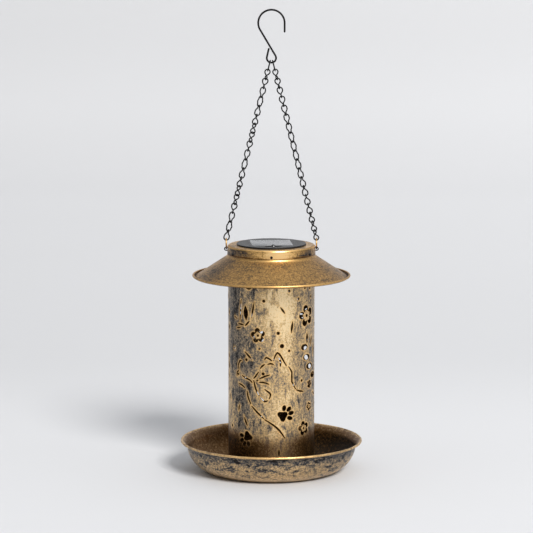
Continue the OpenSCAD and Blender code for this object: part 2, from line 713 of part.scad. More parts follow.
// Two leads from the cell plate to the board and two from the battery contacts
module lead_wires() {
    top = lid_top_z - deck_t;
    color("firebrick") unit() {
        for (x = [-11, -8]) translate([x, led_y - 4, board_z + board_t])
            cylinder(h = top - board_z - board_t, d = lead_d, $fn = 24);
        for (s = [-1, 1]) {
            p = [s * 12, led_y - 6, board_z - lead_d / 2];
            q = [s * 20, led_y - 6, floor_z + floor_t + lead_d / 2];
            rod(p, q, lead_d);
        }
    }
}

module battery_door() {
    door_w = well_w - 0.4;
    color("#242322") unit() translate([-well_l / 2, -door_w / 2, well_low_z - door_t - 0.1]) {
        cube([well_l, door_w, door_t]);
        for (i = [0:3]) translate([well_l - 10 + 2 * i, 3.5, -0.4]) cube([0.8, door_w - 7, 0.4 + eps]);
    }
}

module switch_slider() {
    color("#3a3a3a") unit() translate([-2, slot_y, 0]) {
        translate([-5, -3, floor_z + floor_t + 0.1]) cube([10, 6, 1.2]);
        translate([-1.9, -1.7, floor_z - 1.2]) cube([3.8, 3.4, floor_t + 1.4]);
    }
}

s_hook();
left_top_link();
right_top_link();
left_chain();
right_chain();
left_ring();
right_ring();
roof_collar();
hanger_eyes();
collar_screws();
roof_canopy();
punched_cylinder();
feed_tray();
tray_screws();
tray_nuts();
solar_housing();
solar_panel();
dusk_sensor();
lid_gasket();
circuit_board();
led_lamp();
base_cover();
housing_screws();
battery();
battery_spring();
battery_plate();
lead_wires();
battery_door();
switch_slider();
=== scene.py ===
"""Looks for the hanging lantern bird feeder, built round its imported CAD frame."""
import math

import bmesh
import bpy
import numpy as np
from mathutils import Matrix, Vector, geometry, kdtree


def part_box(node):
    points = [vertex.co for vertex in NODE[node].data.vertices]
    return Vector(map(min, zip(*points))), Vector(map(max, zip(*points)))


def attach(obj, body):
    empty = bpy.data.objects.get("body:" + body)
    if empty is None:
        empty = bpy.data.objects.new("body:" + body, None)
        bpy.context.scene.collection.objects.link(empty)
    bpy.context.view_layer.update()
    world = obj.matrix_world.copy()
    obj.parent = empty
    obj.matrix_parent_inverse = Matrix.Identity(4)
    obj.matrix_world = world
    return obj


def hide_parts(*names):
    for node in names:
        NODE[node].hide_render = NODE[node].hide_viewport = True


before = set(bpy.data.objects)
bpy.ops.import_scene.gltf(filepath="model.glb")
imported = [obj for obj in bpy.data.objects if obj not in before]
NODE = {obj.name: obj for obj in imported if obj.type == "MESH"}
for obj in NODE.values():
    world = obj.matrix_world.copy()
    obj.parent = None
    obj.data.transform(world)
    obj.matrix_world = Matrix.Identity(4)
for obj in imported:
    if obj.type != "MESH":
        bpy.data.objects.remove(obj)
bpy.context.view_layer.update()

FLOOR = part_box("feed_tray")[0].z      # the tray's underside, in metres
SAME_POINT = 2e-6                     # metres

# ---- dimensions of the part, in mm; heights are above the tray's underside ----
SHEET = 0.7
CYL_R = 49.7
CYL_TOP = 258.0
SLIP = 0.2                            # between the cylinder and the sheets round it
COLLAR_R = CYL_R + SLIP + SHEET
COLLAR_LOW, COLLAR_TOP, HOLE_R, SHOULDER_R = 253.8, 264.0, 35.7, 2.4
ROOF_R, ROOF_SLOPE, ROOF_BEAD, GUTTER_R, NECK_FILLET = 91.0, math.radians(33.5), 1.2, 1.5, 4.0
TRAY_R, TRAY_CURVE, TRAY_BEAD, TRAY_RAISE = 105.0, 33.0, 1.3, 3.0
FOOT_R, FOOT_Z, FOOT_HOLE_R = CYL_R - 8, 3.7, 1.7
DRAIN_R, DRAIN_HOLE_R, SCREW_HOLE_R = 53.4, 1.5, 1.65
HOOK_WIRE, HOOK_BEND, HOOK_EYE, HOOK_OPEN = 2.2, 15.0, 5.3, 167
HOOK_BEND_Z, HOOK_EYE_Z = 518.2, 478.4
HOOK_NOSE, HOOK_TIP = 9.8, 9.3        # straight ends past the bend and the eye
LINK_WIRE, LINK_BEND, LINKS = 1.5, 3.05, 20
LINK_STEPS = 13                       # points on each bend and side of a link
RING_WIRE, RING_R = 1.6, 5.9
GAP, LINK_GAP, EYE_WIRE, EYE_Z = 0.3, 0.12, 1.2, 260.9
LID_TOP, PANEL_W, PANEL_Y, LID_TURN = 265.8, 47.0, 2.5, math.radians(5)

RING_X = COLLAR_R + GAP + RING_WIRE / 2 + 0.1
RING_LOW = EYE_Z - EYE_WIRE / 2 - GAP - RING_WIRE / 2
RING_MID = RING_LOW + RING_R


# ---- mesh helpers ----

def row(points):
    """Points in mm above the tray's underside, as metres in the row frame."""
    out = np.array(points, float).reshape(-1, 3) / 1000
    out[:, 2] += FLOOR
    return out


def add_mesh(name, verts, faces, material, body, slot, stands_for=(), merge=False, sharp=None, **fields):
    """A closed mesh piece in the row frame. Edges steeper than sharp, in degrees, stay crisp.
    Each field is one value or vector for every point."""
    mesh = bpy.data.meshes.new(name)
    mesh.from_pydata(row(verts).tolist(), [], [list(map(int, f)) for f in faces])
    for key, values in fields.items():
        values = np.asarray(values, np.float32)
        kind, slot_name = ("FLOAT_VECTOR", "vector") if values.ndim == 2 else ("FLOAT", "value")
        mesh.attributes.new(key, kind, "POINT").data.foreach_set(slot_name, values.ravel())
    bm = bmesh.new()
    bm.from_mesh(mesh)
    if merge:
        bmesh.ops.remove_doubles(bm, verts=bm.verts, dist=SAME_POINT)
    bmesh.ops.recalc_face_normals(bm, faces=bm.faces)
    bm.to_mesh(mesh)
    bm.free()
    mesh.polygons.foreach_set("use_smooth", [True] * len(mesh.polygons))
    mesh.materials.append(material)
    obj = bpy.data.objects.new(name, mesh)
    bpy.context.scene.collection.objects.link(obj)
    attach(obj, body)
    if stands_for:
        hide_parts(*stands_for)
    if sharp:
        bm = bmesh.new()
        bm.from_mesh(mesh)
        for e in bm.edges:
            e.smooth = len(e.link_faces) == 2 and e.calc_face_angle(0) < math.radians(sharp)
        bm.to_mesh(mesh)
        bm.free()


def polar(verts):
    """Distance from the axis, height, and azimuth in degrees with 0 at the front."""
    x, y, z = np.asarray(verts).T
    return np.hypot(x, y), z, np.degrees(np.arctan2(x, -y))


def hump(x, middle, width):
    """A weight of 1 at the middle that fades over the width."""
    return np.exp(-((x - middle) / width) ** 2)


def arc(cx, cy, r, a0, a1, n):
    """Points of an arc, angles in degrees."""
    return [(cx + r * math.cos(math.radians(a0 + (a1 - a0) * i / n)),
             cy + r * math.sin(math.radians(a0 + (a1 - a0) * i / n))) for i in range(n + 1)]


def even(points, step):
    """A polyline with extra points so that no span is longer than step."""
    out = [tuple(points[0])]
    for a, b in zip(points[:-1], points[1:]):
        n = max(1, math.ceil(math.dist(a, b) / step))
        out += [tuple(np.array(a) + (np.array(b) - np.array(a)) * i / n) for i in range(1, n + 1)]
    return out


def rounded(points, r, n=5):
    """A polyline whose inner corners are turned into curves that start r from each corner."""
    p = [np.array(q, float) for q in points]
    out = [p[0]]
    for a, b, c in zip(p[:-2], p[1:-1], p[2:]):
        k = min(r, 0.45 * np.linalg.norm(a - b), 0.45 * np.linalg.norm(c - b))
        s = b + (a - b) / np.linalg.norm(a - b) * k
        e = b + (c - b) / np.linalg.norm(c - b) * k
        out += [(1 - t) ** 2 * s + 2 * t * (1 - t) * b + t * t * e for t in np.linspace(0, 1, n)]
    out.append(p[-1])
    return [tuple(q) for q in out]


def offset(points, d):
    """A polyline moved sideways by d, to the left of its direction."""
    p = np.array(points, float)
    t = np.gradient(p, axis=0)
    t /= np.linalg.norm(t, axis=1)[:, None]
    return p + d * np.stack([-t[:, 1], t[:, 0]], 1)


def beaded(middle, half, centre, r, n=26):
    """The section of a sheet with a rolled bead at its end: up the left side, round the bead and back."""
    c = np.array(centre)
    left = [q for q in offset(middle, half) if np.linalg.norm(q - c) > r * 1.01]
    right = [q for q in offset(middle, -half) if np.linalg.norm(q - c) > r * 1.01]
    a0 = math.degrees(math.atan2(*(left[-1] - c)[::-1]))
    a1 = math.degrees(math.atan2(*(right[-1] - c)[::-1]))
    if a1 > a0:
        a1 -= 360
    return [tuple(q) for q in left] + arc(*centre, r, a0, a1, n) + [tuple(q) for q in right[::-1]]


def revolve(section, n, closed=True):
    """A section of (radius, height) turned round Z, as points, faces and each point's place along it."""
    s = np.array(section, float)
    along = np.concatenate([[0], np.cumsum(np.linalg.norm(np.diff(s, axis=0), axis=1))])
    a = np.arange(n) * 2 * math.pi / n
    verts = np.stack([np.outer(s[:, 0], np.sin(a)), -np.outer(s[:, 0], np.cos(a)),
                      np.repeat(s[:, 1:2], n, 1)], 2).reshape(-1, 3)
    faces = []
    m = len(s)
    for i in range(m if closed else m - 1):
        k = (i + 1) % m
        for j in range(n):
            j2 = (j + 1) % n
            faces.append((i * n + j, k * n + j, k * n + j2, i * n + j2))
    return verts, faces, np.repeat(along, n)


def brush(verts, along, r):
    """Coordinates for brushed paint: round the axis at a fixed radius, and along the section, in metres."""
    v = np.asarray(verts)
    a = np.arctan2(v[:, 0], -v[:, 1])
    return np.stack([r * np.sin(a), -r * np.cos(a), np.asarray(along)], 1) / 1000


def sweep(path, radius, sides=16, closed=False):
    """A round wire along a path. An open wire has domed ends. radius is one number or one for each point."""
    p = np.array(path, float)
    rad = np.broadcast_to(np.asarray(radius, float), (len(p),)).copy()
    if closed:
        t = np.roll(p, -1, 0) - np.roll(p, 1, 0)
    else:
        t = np.gradient(p, axis=0)
    t /= np.linalg.norm(t, axis=1)[:, None]
    u = np.zeros_like(p)
    first = np.cross(t[0], [0.3, 0.5, 0.81])
    u[0] = first / np.linalg.norm(first)
    for i in range(1, len(p)):
        w = u[i - 1] - t[i] * np.dot(u[i - 1], t[i])
        u[i] = w / np.linalg.norm(w)
    if closed:
        w = u[-1] - t[0] * np.dot(u[-1], t[0])
        w /= np.linalg.norm(w)
        slip = math.atan2(np.dot(np.cross(w, u[0]), t[0]), np.dot(w, u[0]))
        for i in range(len(p)):
            k = slip * i / len(p)
            u[i] = u[i] * math.cos(k) + np.cross(t[i], u[i]) * math.sin(k)
    v = np.cross(t, u)
    rings = [(p[i], u[i], v[i], rad[i]) for i in range(len(p))]
    if not closed:
        dome = [math.radians(x) for x in (22, 45, 66)]
        head = [(p[0] - t[0] * rad[0] * math.sin(k), u[0], v[0], rad[0] * math.cos(k)) for k in dome[::-1]]
        tail = [(p[-1] + t[-1] * rad[-1] * math.sin(k), u[-1], v[-1], rad[-1] * math.cos(k)) for k in dome]
        rings = head + rings + tail
    a = np.arange(sides) * 2 * math.pi / sides
    verts = np.concatenate([c + r * (np.outer(np.cos(a), x) + np.outer(np.sin(a), y))
                            for c, x, y, r in rings])
    m = len(rings)
    faces = []
    for i in range(m if closed else m - 1):
        k = (i + 1) % m
        for j in range(sides):
            j2 = (j + 1) % sides
            faces.append((i * sides + j, i * sides + j2, k * sides + j2, k * sides + j))
    if not closed:
        poles = [p[0] - t[0] * rad[0], p[-1] + t[-1] * rad[-1]]
        verts = np.concatenate([verts, poles])
        for j in range(sides):
            j2 = (j + 1) % sides
            faces.append((m * sides, j2, j))
            faces.append((m * sides + 1, (m - 1) * sides + j, (m - 1) * sides + j2))
    return verts, faces


def joined(parts):
    """Several (points, faces) as one."""
    verts, faces, base = [], [], 0
    for v, f in parts:
        verts.append(np.asarray(v))
        faces += [tuple(i + base for i in q) for q in f]
        base += len(v)
    return np.concatenate(verts), faces


def inside(point, loop):
    """True if a point is inside a closed outline."""
    x, y = point
    a, b = loop, np.roll(loop, -1, 0)
    cross = (a[:, 1] > y) != (b[:, 1] > y)
    rise = np.where(b[:, 1] == a[:, 1], 1e-12, b[:, 1] - a[:, 1])
    at = a[:, 0] + (y - a[:, 1]) / rise * (b[:, 0] - a[:, 0])
    return bool(np.count_nonzero(cross & (x < at)) % 2)


def rim(faces):
    """The edges that only one face has, in that face's direction."""
    used = dict.fromkeys((f[i], f[(i + 1) % len(f)]) for f in faces for i in range(len(f)))
    return [(i, j) for i, j in used if (j, i) not in used]


def mesh_between(outer, holes, extra):
    """Points and triangles between an outer outline and its holes, with extra points in between."""
    loops = [np.asarray(outer)] + [np.asarray(h) for h in holes]
    pts, edges, owner = [], [], []
    for k, loop in enumerate(loops):
        base = len(pts)
        pts += [Vector(q) for q in loop]
        owner += [k] * len(loop)
        edges += [(base + i, base + (i + 1) % len(loop)) for i in range(len(loop))]
    pts += [Vector(q) for q in extra]
    owner += [-1] * len(extra)
    out, _, faces, source, _, _ = geometry.delaunay_2d_cdt(pts, edges, [], 0, 1e-6)
    own = np.array([owner[s[0]] if s else -1 for s in source])
    xy = np.array([q[:] for q in out])
    kept = []
    for f in faces:
        f = list(f)
        k = own[f[0]]
        if k >= 0 and all(own[i] == k for i in f):
            hit = inside(xy[f].mean(0), loops[k])
            if (k > 0 and hit) or (k == 0 and not hit):
                continue
        kept.append(f)
    return xy, kept


# ---- material helpers ----

class Nodes:
    """A small builder of node trees. Numbers for scale are in features per metre."""

    def __init__(self, tree):
        self.tree = tree

    def node(self, kind, **settings):
        n = self.tree.nodes.new(kind)
        for key, value in settings.items():
            setattr(n, key, value)
        return n

    def link(self, a, b):
        self.tree.links.new(a, b)

    def place(self, field=None, scale=(1, 1, 1), turn=(0, 0, 0)):
        """Coordinates from a mesh field, or from the object itself, scaled along each axis."""
        if field:
            source = self.node("ShaderNodeAttribute", attribute_name=field).outputs["Vector"]
        else:
            source = self.node("ShaderNodeTexCoord").outputs["Object"]
        m = self.node("ShaderNodeMapping")
        m.inputs["Scale"].default_value = scale
        m.inputs["Rotation"].default_value = turn
        self.link(source, m.inputs["Vector"])
        return m.outputs["Vector"]

    def field(self, name):
        return self.node("ShaderNodeAttribute", attribute_name=name).outputs["Fac"]

    def noise(self, where, scale, detail=3.0, rough=0.55, distort=0.0):
        n = self.node("ShaderNodeTexNoise")
        n.inputs["Scale"].default_value = scale
        n.inputs["Detail"].default_value = detail
        n.inputs["Roughness"].default_value = rough
        n.inputs["Distortion"].default_value = distort
        self.link(where, n.inputs["Vector"])
        return n.outputs["Fac"]

    def calc(self, op, a, b=0.0, clamp=False):
        n = self.node("ShaderNodeMath", operation=op, use_clamp=clamp)
        for socket, value in zip(n.inputs, (a, b)):
            if isinstance(value, (int, float)):
                socket.default_value = value
            else:
                self.link(value, socket)
        return n.outputs[0]

    def fit(self, value, low, high, to_low=0.0, to_high=1.0, smooth=True):
        n = self.node("ShaderNodeMapRange", interpolation_type="SMOOTHSTEP" if smooth else "LINEAR")
        for socket, x in zip(("From Min", "From Max", "To Min", "To Max"), (low, high, to_low, to_high)):
            n.inputs[socket].default_value = x
        self.link(value, n.inputs["Value"])
        return n.outputs["Result"]

    def ramp(self, value, stops, smooth=False):
        n = self.node("ShaderNodeValToRGB")
        n.color_ramp.interpolation = "EASE" if smooth else "LINEAR"
        while len(n.color_ramp.elements) < len(stops):
            n.color_ramp.elements.new(0.5)
        for e, (at, colour) in zip(n.color_ramp.elements, stops):
            e.position = at
            e.color = (*colour, 1)
        self.link(value, n.inputs["Fac"])
        return n.outputs["Color"]

    def mix(self, amount, a, b):
        """Of two colours, which have the sockets 6, 7 and 2."""
        n = self.node("ShaderNodeMix", data_type="RGBA")
        self.link(amount, n.inputs["Factor"])
        for socket, value in ((n.inputs[6], a), (n.inputs[7], b)):
            if isinstance(value, tuple):
                socket.default_value = (*value, 1)
            else:
                self.link(value, socket)
        return n.outputs[2]


class Paint(Nodes):
    """A material."""

    def __init__(self, name, **sockets):
        self.mat = bpy.data.materials.new(name)
        self.mat.use_nodes = True
        super().__init__(self.mat.node_tree)
        self.shader = self.tree.nodes["Principled BSDF"]
        for key, value in sockets.items():
            self.shader.inputs[key.replace("_", " ")].default_value = value

    def bump(self, height, strength, distance):
        n = self.node("ShaderNodeBump")
        n.inputs["Strength"].default_value = strength
        n.inputs["Distance"].default_value = distance
        self.link(height, n.inputs["Height"])
        self.link(n.outputs["Normal"], self.shader.inputs["Normal"])

    def set(self, socket, value):
        self.link(value, self.shader.inputs[socket])


def bronze(name, gold, mid, grey, level, pale=(0.8, 0.6, 0.33), contrast=1.0, cloud=0.5, streak=0.3,
           streak_scale=(1, 1, 0.12), metallic=0.75, rough=(0.5, 0.34), skipped=0.3):
    """Black enamel dry-brushed with bronze: grey where the brush barely touched, pale where it covered most.
    The fields give bare bright edges together with painted highlights on beads and fillets, unbrushed places
    together with painted shade in creases, the tray's well and low on the cylinder, and more or less brushing
    together with painted light: darker sides and a brighter lit front."""
    p = Paint(name, Metallic=metallic)
    at = p.place("brush")
    fine = p.noise(at, 1150, 2, 0.6)
    medium = p.noise(at, 450, 3, 0.62, 0.3)
    large = p.noise(at, 34, 3, 0.5, 0.5)
    lines = p.noise(p.place("brush", streak_scale), 520, 3, 0.6, 0.2)
    cover = p.calc("MULTIPLY", fine, 0.8 * contrast)
    for pattern, weight in ((medium, contrast), (large, cloud), (lines, streak)):
        cover = p.calc("ADD", cover, p.calc("MULTIPLY", pattern, weight))
    cover = p.calc("ADD", cover, 0.5 + level - (1.8 * contrast + cloud + streak) / 2)
    cover = p.calc("ADD", cover, p.field("coat"))
    missed = p.noise(p.place("brush", tuple(k ** 0.4 for k in streak_scale)), 170, 3, 0.6, 0.3)
    cover = p.calc("SUBTRACT", cover, p.fit(missed, 0.5, 0.68, 0.0, skipped * contrast))
    cover = p.calc("ADD", cover, p.calc("MULTIPLY", p.field("halo"), 0.3))
    cover = p.calc("SUBTRACT", cover, p.calc("MULTIPLY", p.field("grime"), 0.3), clamp=True)
    colour = p.ramp(cover, [(0.0, (0.016, 0.013, 0.011)), (0.24, grey), (0.48, mid), (0.72, gold),
                            (1.0, pale)])
    bare_and_highlight = p.calc("MULTIPLY", p.field("halo"), 0.85)
    flecks = p.fit(p.noise(at, 1250, 1, 0.5), 0.5, 0.72, 0.0, 0.55)
    colour = p.mix(p.calc("MULTIPLY", flecks, p.fit(cover, 0.35, 0.8)), colour, (0.9, 0.56, 0.2))
    colour = p.mix(bare_and_highlight, colour, (0.85, 0.52, 0.19))
    mottle = p.calc("ADD", p.calc("MULTIPLY", fine, 0.4), p.calc("MULTIPLY", medium, 0.6))
    # Painted shade and unbrushed paint: where that field is high, the colour goes brown, then near black.
    shade = p.calc("MULTIPLY", p.field("grime"), p.fit(mottle, 0.35, 0.65, 1.3, 0.7))
    colour = p.mix(p.fit(shade, 0.0, 0.7, 0.0, 0.92, smooth=False), colour, (0.23, 0.105, 0.022))
    colour = p.mix(p.fit(shade, 0.35, 1.0, 0.0, 1.0, smooth=False), colour, (0.014, 0.0075, 0.002))
    p.set("Base Color", colour)
    p.set("Roughness", p.fit(cover, 0.1, 0.9, *rough, smooth=False))
    p.bump(p.calc("ADD", p.calc("MULTIPLY", fine, 0.7), p.calc("MULTIPLY", lines, 0.5)), 0.2, 0.0003)
    return p.mat


def black_enamel(name, rough=0.38):
    """Black paint with a faint unevenness."""
    p = Paint(name, Specular_IOR_Level=0.12)
    at = p.place()
    fine = p.noise(at, 900, 3, 0.6)
    wide = p.noise(at, 90, 3, 0.5)
    p.set("Base Color", p.ramp(wide, [(0.3, (0.005, 0.0049, 0.005)), (0.7, (0.012, 0.0117, 0.012))]))
    p.set("Roughness", p.fit(fine, 0.3, 0.7, rough - 0.07, rough + 0.08))
    p.bump(fine, 0.18, 0.0002)
    return p.mat


def moulded(name, low, high, rough=0.42, grain=1500, depth=0.16, **sockets):
    """Moulded plastic or rubber with a fine grain."""
    p = Paint(name, **sockets)
    at = p.place()
    fine = p.noise(at, grain, 2, 0.5)
    wide = p.noise(at, 70, 3, 0.5)
    p.set("Base Color", p.ramp(wide, [(0.3, low), (0.7, high)]))
    p.set("Roughness", p.fit(fine, 0.3, 0.7, rough - 0.06, rough + 0.08))
    p.bump(fine, depth, 0.0002)
    return p.mat


def plated(name, low, high, rough=0.28):
    """Plated steel with faint turning marks and dulled patches."""
    p = Paint(name, Metallic=1.0)
    lines = p.noise(p.place(None, (1, 1, 9)), 420, 3, 0.6)
    patch = p.noise(p.place(), 240, 3, 0.6)
    p.set("Base Color", p.ramp(patch, [(0.3, low), (0.7, high)]))
    p.set("Roughness", p.fit(patch, 0.3, 0.7, rough + 0.14, rough - 0.05))
    p.bump(lines, 0.15, 0.0001)
    return p.mat


cyl_paint = bronze(
    "antique_bronze_cylinder", gold=(0.56, 0.38, 0.18), mid=(0.25, 0.2, 0.145), grey=(0.08, 0.074, 0.069),
    level=0.14, pale=(0.86, 0.67, 0.4), contrast=1.15, cloud=0.55, streak=0.5, streak_scale=(1, 1, 0.09),
    metallic=0.88, rough=(0.5, 0.32))
roof_paint = bronze(
    "antique_bronze_roof", gold=(0.46, 0.265, 0.09), mid=(0.28, 0.165, 0.062), grey=(0.1, 0.075, 0.055),
    level=0.07, pale=(0.62, 0.37, 0.14), contrast=1.1, cloud=0.3, streak_scale=(0.16, 0.16, 1), metallic=0.92,
    skipped=0.13)
collar_paint = bronze(
    "antique_bronze_collar", gold=(0.62, 0.37, 0.13), mid=(0.28, 0.165, 0.062), grey=(0.07, 0.055, 0.045),
    level=0.1, pale=(0.85, 0.56, 0.25), contrast=0.9, cloud=0.6, streak=0.4, streak_scale=(0.2, 0.2, 1),
    metallic=0.9, rough=(0.48, 0.3))
tray_paint = bronze(
    "antique_bronze_tray", gold=(0.5, 0.35, 0.19), mid=(0.21, 0.165, 0.115), grey=(0.07, 0.073, 0.082),
    level=0.14, pale=(0.74, 0.54, 0.32), contrast=1.5, cloud=0.3, streak=0.45, streak_scale=(0.25, 0.25, 1),
    metallic=0.85)
inner_paint = bronze(
    "antique_bronze_inner", gold=(0.2, 0.12, 0.05), mid=(0.05, 0.034, 0.018), grey=(0.025, 0.022, 0.019),
    level=-0.12)
wire_black = black_enamel("wire_black")
screw_black = black_enamel("screw_black", 0.45)


# ---- cylinder ----

def wall_outlines(node, r):
    """The closed outlines of the holes in a round wall, as points (distance round, height) in mm."""
    bm = bmesh.new()
    bm.from_mesh(NODE[node].data)
    bmesh.ops.remove_doubles(bm, verts=bm.verts, dist=SAME_POINT)
    bm.normal_update()

    def on_wall(f):
        c = f.calc_center_median()
        flat = Vector((c.x, c.y, 0)).normalized()
        at_r = all(abs(math.hypot(v.co.x, v.co.y) * 1000 - r) < 0.03 for v in f.verts)
        return at_r and f.normal.dot(flat) > 0.9

    wall = {f.index for f in bm.faces if on_wall(f)}
    step = {}
    for e in bm.edges:
        sides = [f for f in e.link_faces if f.index in wall]
        if len(sides) == 1:
            a, b = (v.index for v in e.verts)
            step.setdefault(a, []).append(b)
            step.setdefault(b, []).append(a)
    bm.verts.ensure_lookup_table()
    place = {}
    for i in step:
        x, y, z = bm.verts[i].co
        place[i] = (math.atan2(x, -y), (z - FLOOR) * 1000)
    bm.free()
    loops, seen = [], set()
    for start in sorted(step):
        if start in seen:
            continue
        chain, last, now = [start], None, start
        seen.add(start)
        while True:
            following = [k for k in step[now] if k != last and k not in seen]
            if not following:
                break
            last, now = now, following[0]
            seen.add(now)
            chain.append(now)
        a = np.unwrap([place[i][0] for i in chain])
        z = np.array([place[i][1] for i in chain])
        if len(chain) > 3 and a.max() - a.min() < 2:
            loops.append(np.stack([a * r, z], 1))
    return loops


def smooth_loop(loop, step=0.55, corner=42):
    """A closed outline drawn through the same points with even, curved spans. Sharp corners stay."""
    p = np.asarray(loop)
    keep = [0]
    for i in range(1, len(p)):
        if np.linalg.norm(p[i] - p[keep[-1]]) > 0.12:
            keep.append(i)
    if len(keep) > 3 and np.linalg.norm(p[keep[-1]] - p[keep[0]]) < 0.12:
        keep.pop()
    p = p[keep]
    n = len(p)
    d = np.roll(p, -1, 0) - p
    d_len = np.linalg.norm(d, axis=1)
    t = d / d_len[:, None]
    turn = np.degrees(np.arccos(np.clip((t * np.roll(t, 1, 0)).sum(1), -1, 1)))
    sharp = turn > corner
    tangent = np.roll(t, 1, 0) + t
    tangent /= np.linalg.norm(tangent, axis=1)[:, None] + 1e-9
    out = []
    for i in range(n):
        k = (i + 1) % n
        m0 = (t[i] if sharp[i] else tangent[i]) * d_len[i]
        m1 = (t[i] if sharp[k] else tangent[k]) * d_len[i]
        parts = max(1, round(d_len[i] / step))
        for j in range(parts):
            s = j / parts
            out.append((2 * s ** 3 - 3 * s ** 2 + 1) * p[i] + (s ** 3 - 2 * s ** 2 + s) * m0
                       + (3 * s ** 2 - 2 * s ** 3) * p[k] + (s ** 3 - s ** 2) * m1)
    return np.array(out)


def make_cylinder():
    """The punched wall, with the outlines of the CAD part's own cut-outs."""
    r, low, high = CYL_R, FOOT_Z, CYL_TOP
    round_l = 2 * math.pi * r
    loops = [smooth_loop(q) for q in wall_outlines("punched_cylinder", r)]
    # The sheet's own joint goes where it crosses no cut-out, as near to the back as it can be.
    taken = set()                     # in half degrees
    for q in loops:
        first, last = ((x / r + 4 * math.pi) * 360 / math.pi for x in (q[:, 0].min(), q[:, 0].max()))
        taken.update(k % 720 for k in range(math.floor(first) - 2, math.ceil(last) + 3))
    free = [k for k in range(720) if k not in taken]
    seam = min(free, key=lambda k: abs(k - 360)) / 2 if free else 180.0
    u0 = math.radians(seam) * r
    shifted = []
    for q in loops:
        m = q[:, 0].mean()
        shifted.append(q - [round_l * math.floor((m - u0) / round_l), 0])
    n_round = 256
    xs = [u0 + round_l * i / n_round for i in range(n_round + 1)]
    zs = np.linspace(low, high, 120)
    outer = ([(x, low) for x in xs] + [(xs[-1], z) for z in zs[1:]] + [(x, high) for x in xs[-2::-1]]
             + [(xs[0], z) for z in zs[-2:0:-1]])
    edge_points = np.concatenate(shifted)
    tree = kdtree.KDTree(len(edge_points))
    for i, q in enumerate(edge_points):
        tree.insert((q[0], q[1], 0), i)
    tree.balance()
    extra = []
    for d, every in ((0.5, 1), (1.25, 2)):
        for q in shifted:
            t = np.roll(q, -1, 0) - np.roll(q, 1, 0)
            t /= np.linalg.norm(t, axis=1)[:, None] + 1e-9
            side = np.stack([t[:, 1], -t[:, 0]], 1)
            area = 0.5 * np.sum(q[:, 0] * np.roll(q[:, 1], -1) - np.roll(q[:, 0], -1) * q[:, 1])
            moved = (q + side * (d if area > 0 else -d))[::every]
            for m in moved:
                if (tree.find((m[0], m[1], 0))[2] > d * 0.93 and low + 0.6 < m[1] < high - 0.6
                        and u0 + 0.6 < m[0] < u0 + round_l - 0.6):
                    extra.append(tuple(m))
    cells = 3.0
    seeded = np.random.default_rng(4)
    rows = int((high - low) / (cells * 0.866))
    for i in range(1, rows):
        z = low + (high - low) * i / rows
        cols = int(round_l / cells)
        for j in range(cols):
            x = u0 + round_l * (j + (0.5 if i % 2 else 0.05) + seeded.uniform(-0.02, 0.02)) / cols
            if tree.find((x, z, 0))[2] > 1.9 and u0 + 1 < x < u0 + round_l - 1:
                extra.append((x, z))
    # No point may lie in a hole.
    boxes = [(q.min(0), q.max(0), q) for q in shifted]
    extra = [e for e in extra if not any(
        b0[0] < e[0] < b1[0] and b0[1] < e[1] < b1[1] and inside(e, q) for b0, b1, q in boxes)]
    xy, tris = mesh_between(outer, shifted, extra)
    near = np.array([tree.find((q[0], q[1], 0))[2] for q in xy])
    halo = np.interp(near, [0.0, 0.3, 0.8, 1.5], [0.0, 1.0, 0.7, 0.0])
    lip = 0.12 * np.clip(1 - near / 1.35, 0, 1) ** 2
    a = xy[:, 0] / r

    def wrapped(radius):
        return np.stack([radius * np.sin(a), -radius * np.cos(a), xy[:, 1]], 1)

    n = len(xy)
    verts = np.concatenate([wrapped(r + lip), wrapped(np.full(n, r - SHEET))])
    faces = [tuple(f) for f in tris] + [tuple(n + i for i in reversed(f)) for f in tris]
    for i, j in rim(tris):
        on_seam = (abs(xy[i, 0] - xy[j, 0]) < 1e-4
                   and min(abs(xy[i, 0] - u0), abs(xy[i, 0] - u0 - round_l)) < 1e-3)
        if not on_seam:
            faces.append((i, n + i, n + j, j))
    inner = np.concatenate([np.zeros(n), np.ones(n)])
    _, height, azimuth = polar(verts)
    # Painted shade from the tray low on the wall, its shadow and dark reflection. It reaches least high and
    # is weakest at the front, where the key light falls, and it is lighter on the bright hole edges.
    line = 55 - 7 * hump(azimuth, 6, 30)
    tray_shade_band = np.clip((line - height) / 13, 0, 1)
    edges = np.concatenate([near < 0.02, near < 0.02])
    halo = np.concatenate([halo, np.zeros(n)])
    tray_shade = tray_shade_band * (0.86 - 0.58 * hump(azimuth, 12, 30)) * (1 - 0.5 * halo)
    grime = np.where(inner > 0, 0.55, np.maximum(tray_shade, edges))
    # Where the brush covered more or less, and painted light: darker on both sides and brighter a little
    # right of the middle, as the key light falls. Azimuth, height, the reach of both, and how much.
    coat = sum(k * np.exp(-((azimuth - a0) / wa) ** 2 - ((height - z0) / wz) ** 2) for a0, z0, wa, wz, k in (
        (-58, 200, 24, 60, -0.38), (-52, 120, 20, 45, -0.24), (-22, 232, 22, 14, -0.27),
        (6, 195, 20, 30, 0.4), (20, 165, 9, 60, 0.22), (37, 140, 8, 28, -0.12), (32, 181, 9, 14, 0.16),
        (-5, 203, 8, 10, 0.2), (4, 80, 16, 28, 0.24), (22, 95, 10, 30, 0.14), (-42, 75, 18, 30, -0.24),
        (70, 130, 14, 90, -0.2), (10, 115, 12, 12, -0.12), (-20, 150, 12, 26, -0.08)))
    add_mesh("lantern_cylinder", verts, faces, cyl_paint, "lantern", "antique_bronze",
             stands_for=["punched_cylinder"], merge=True, sharp=50, brush=brush(verts, height, r),
             halo=halo * (1 - 0.35 * tray_shade_band), grime=grime, coat=coat)


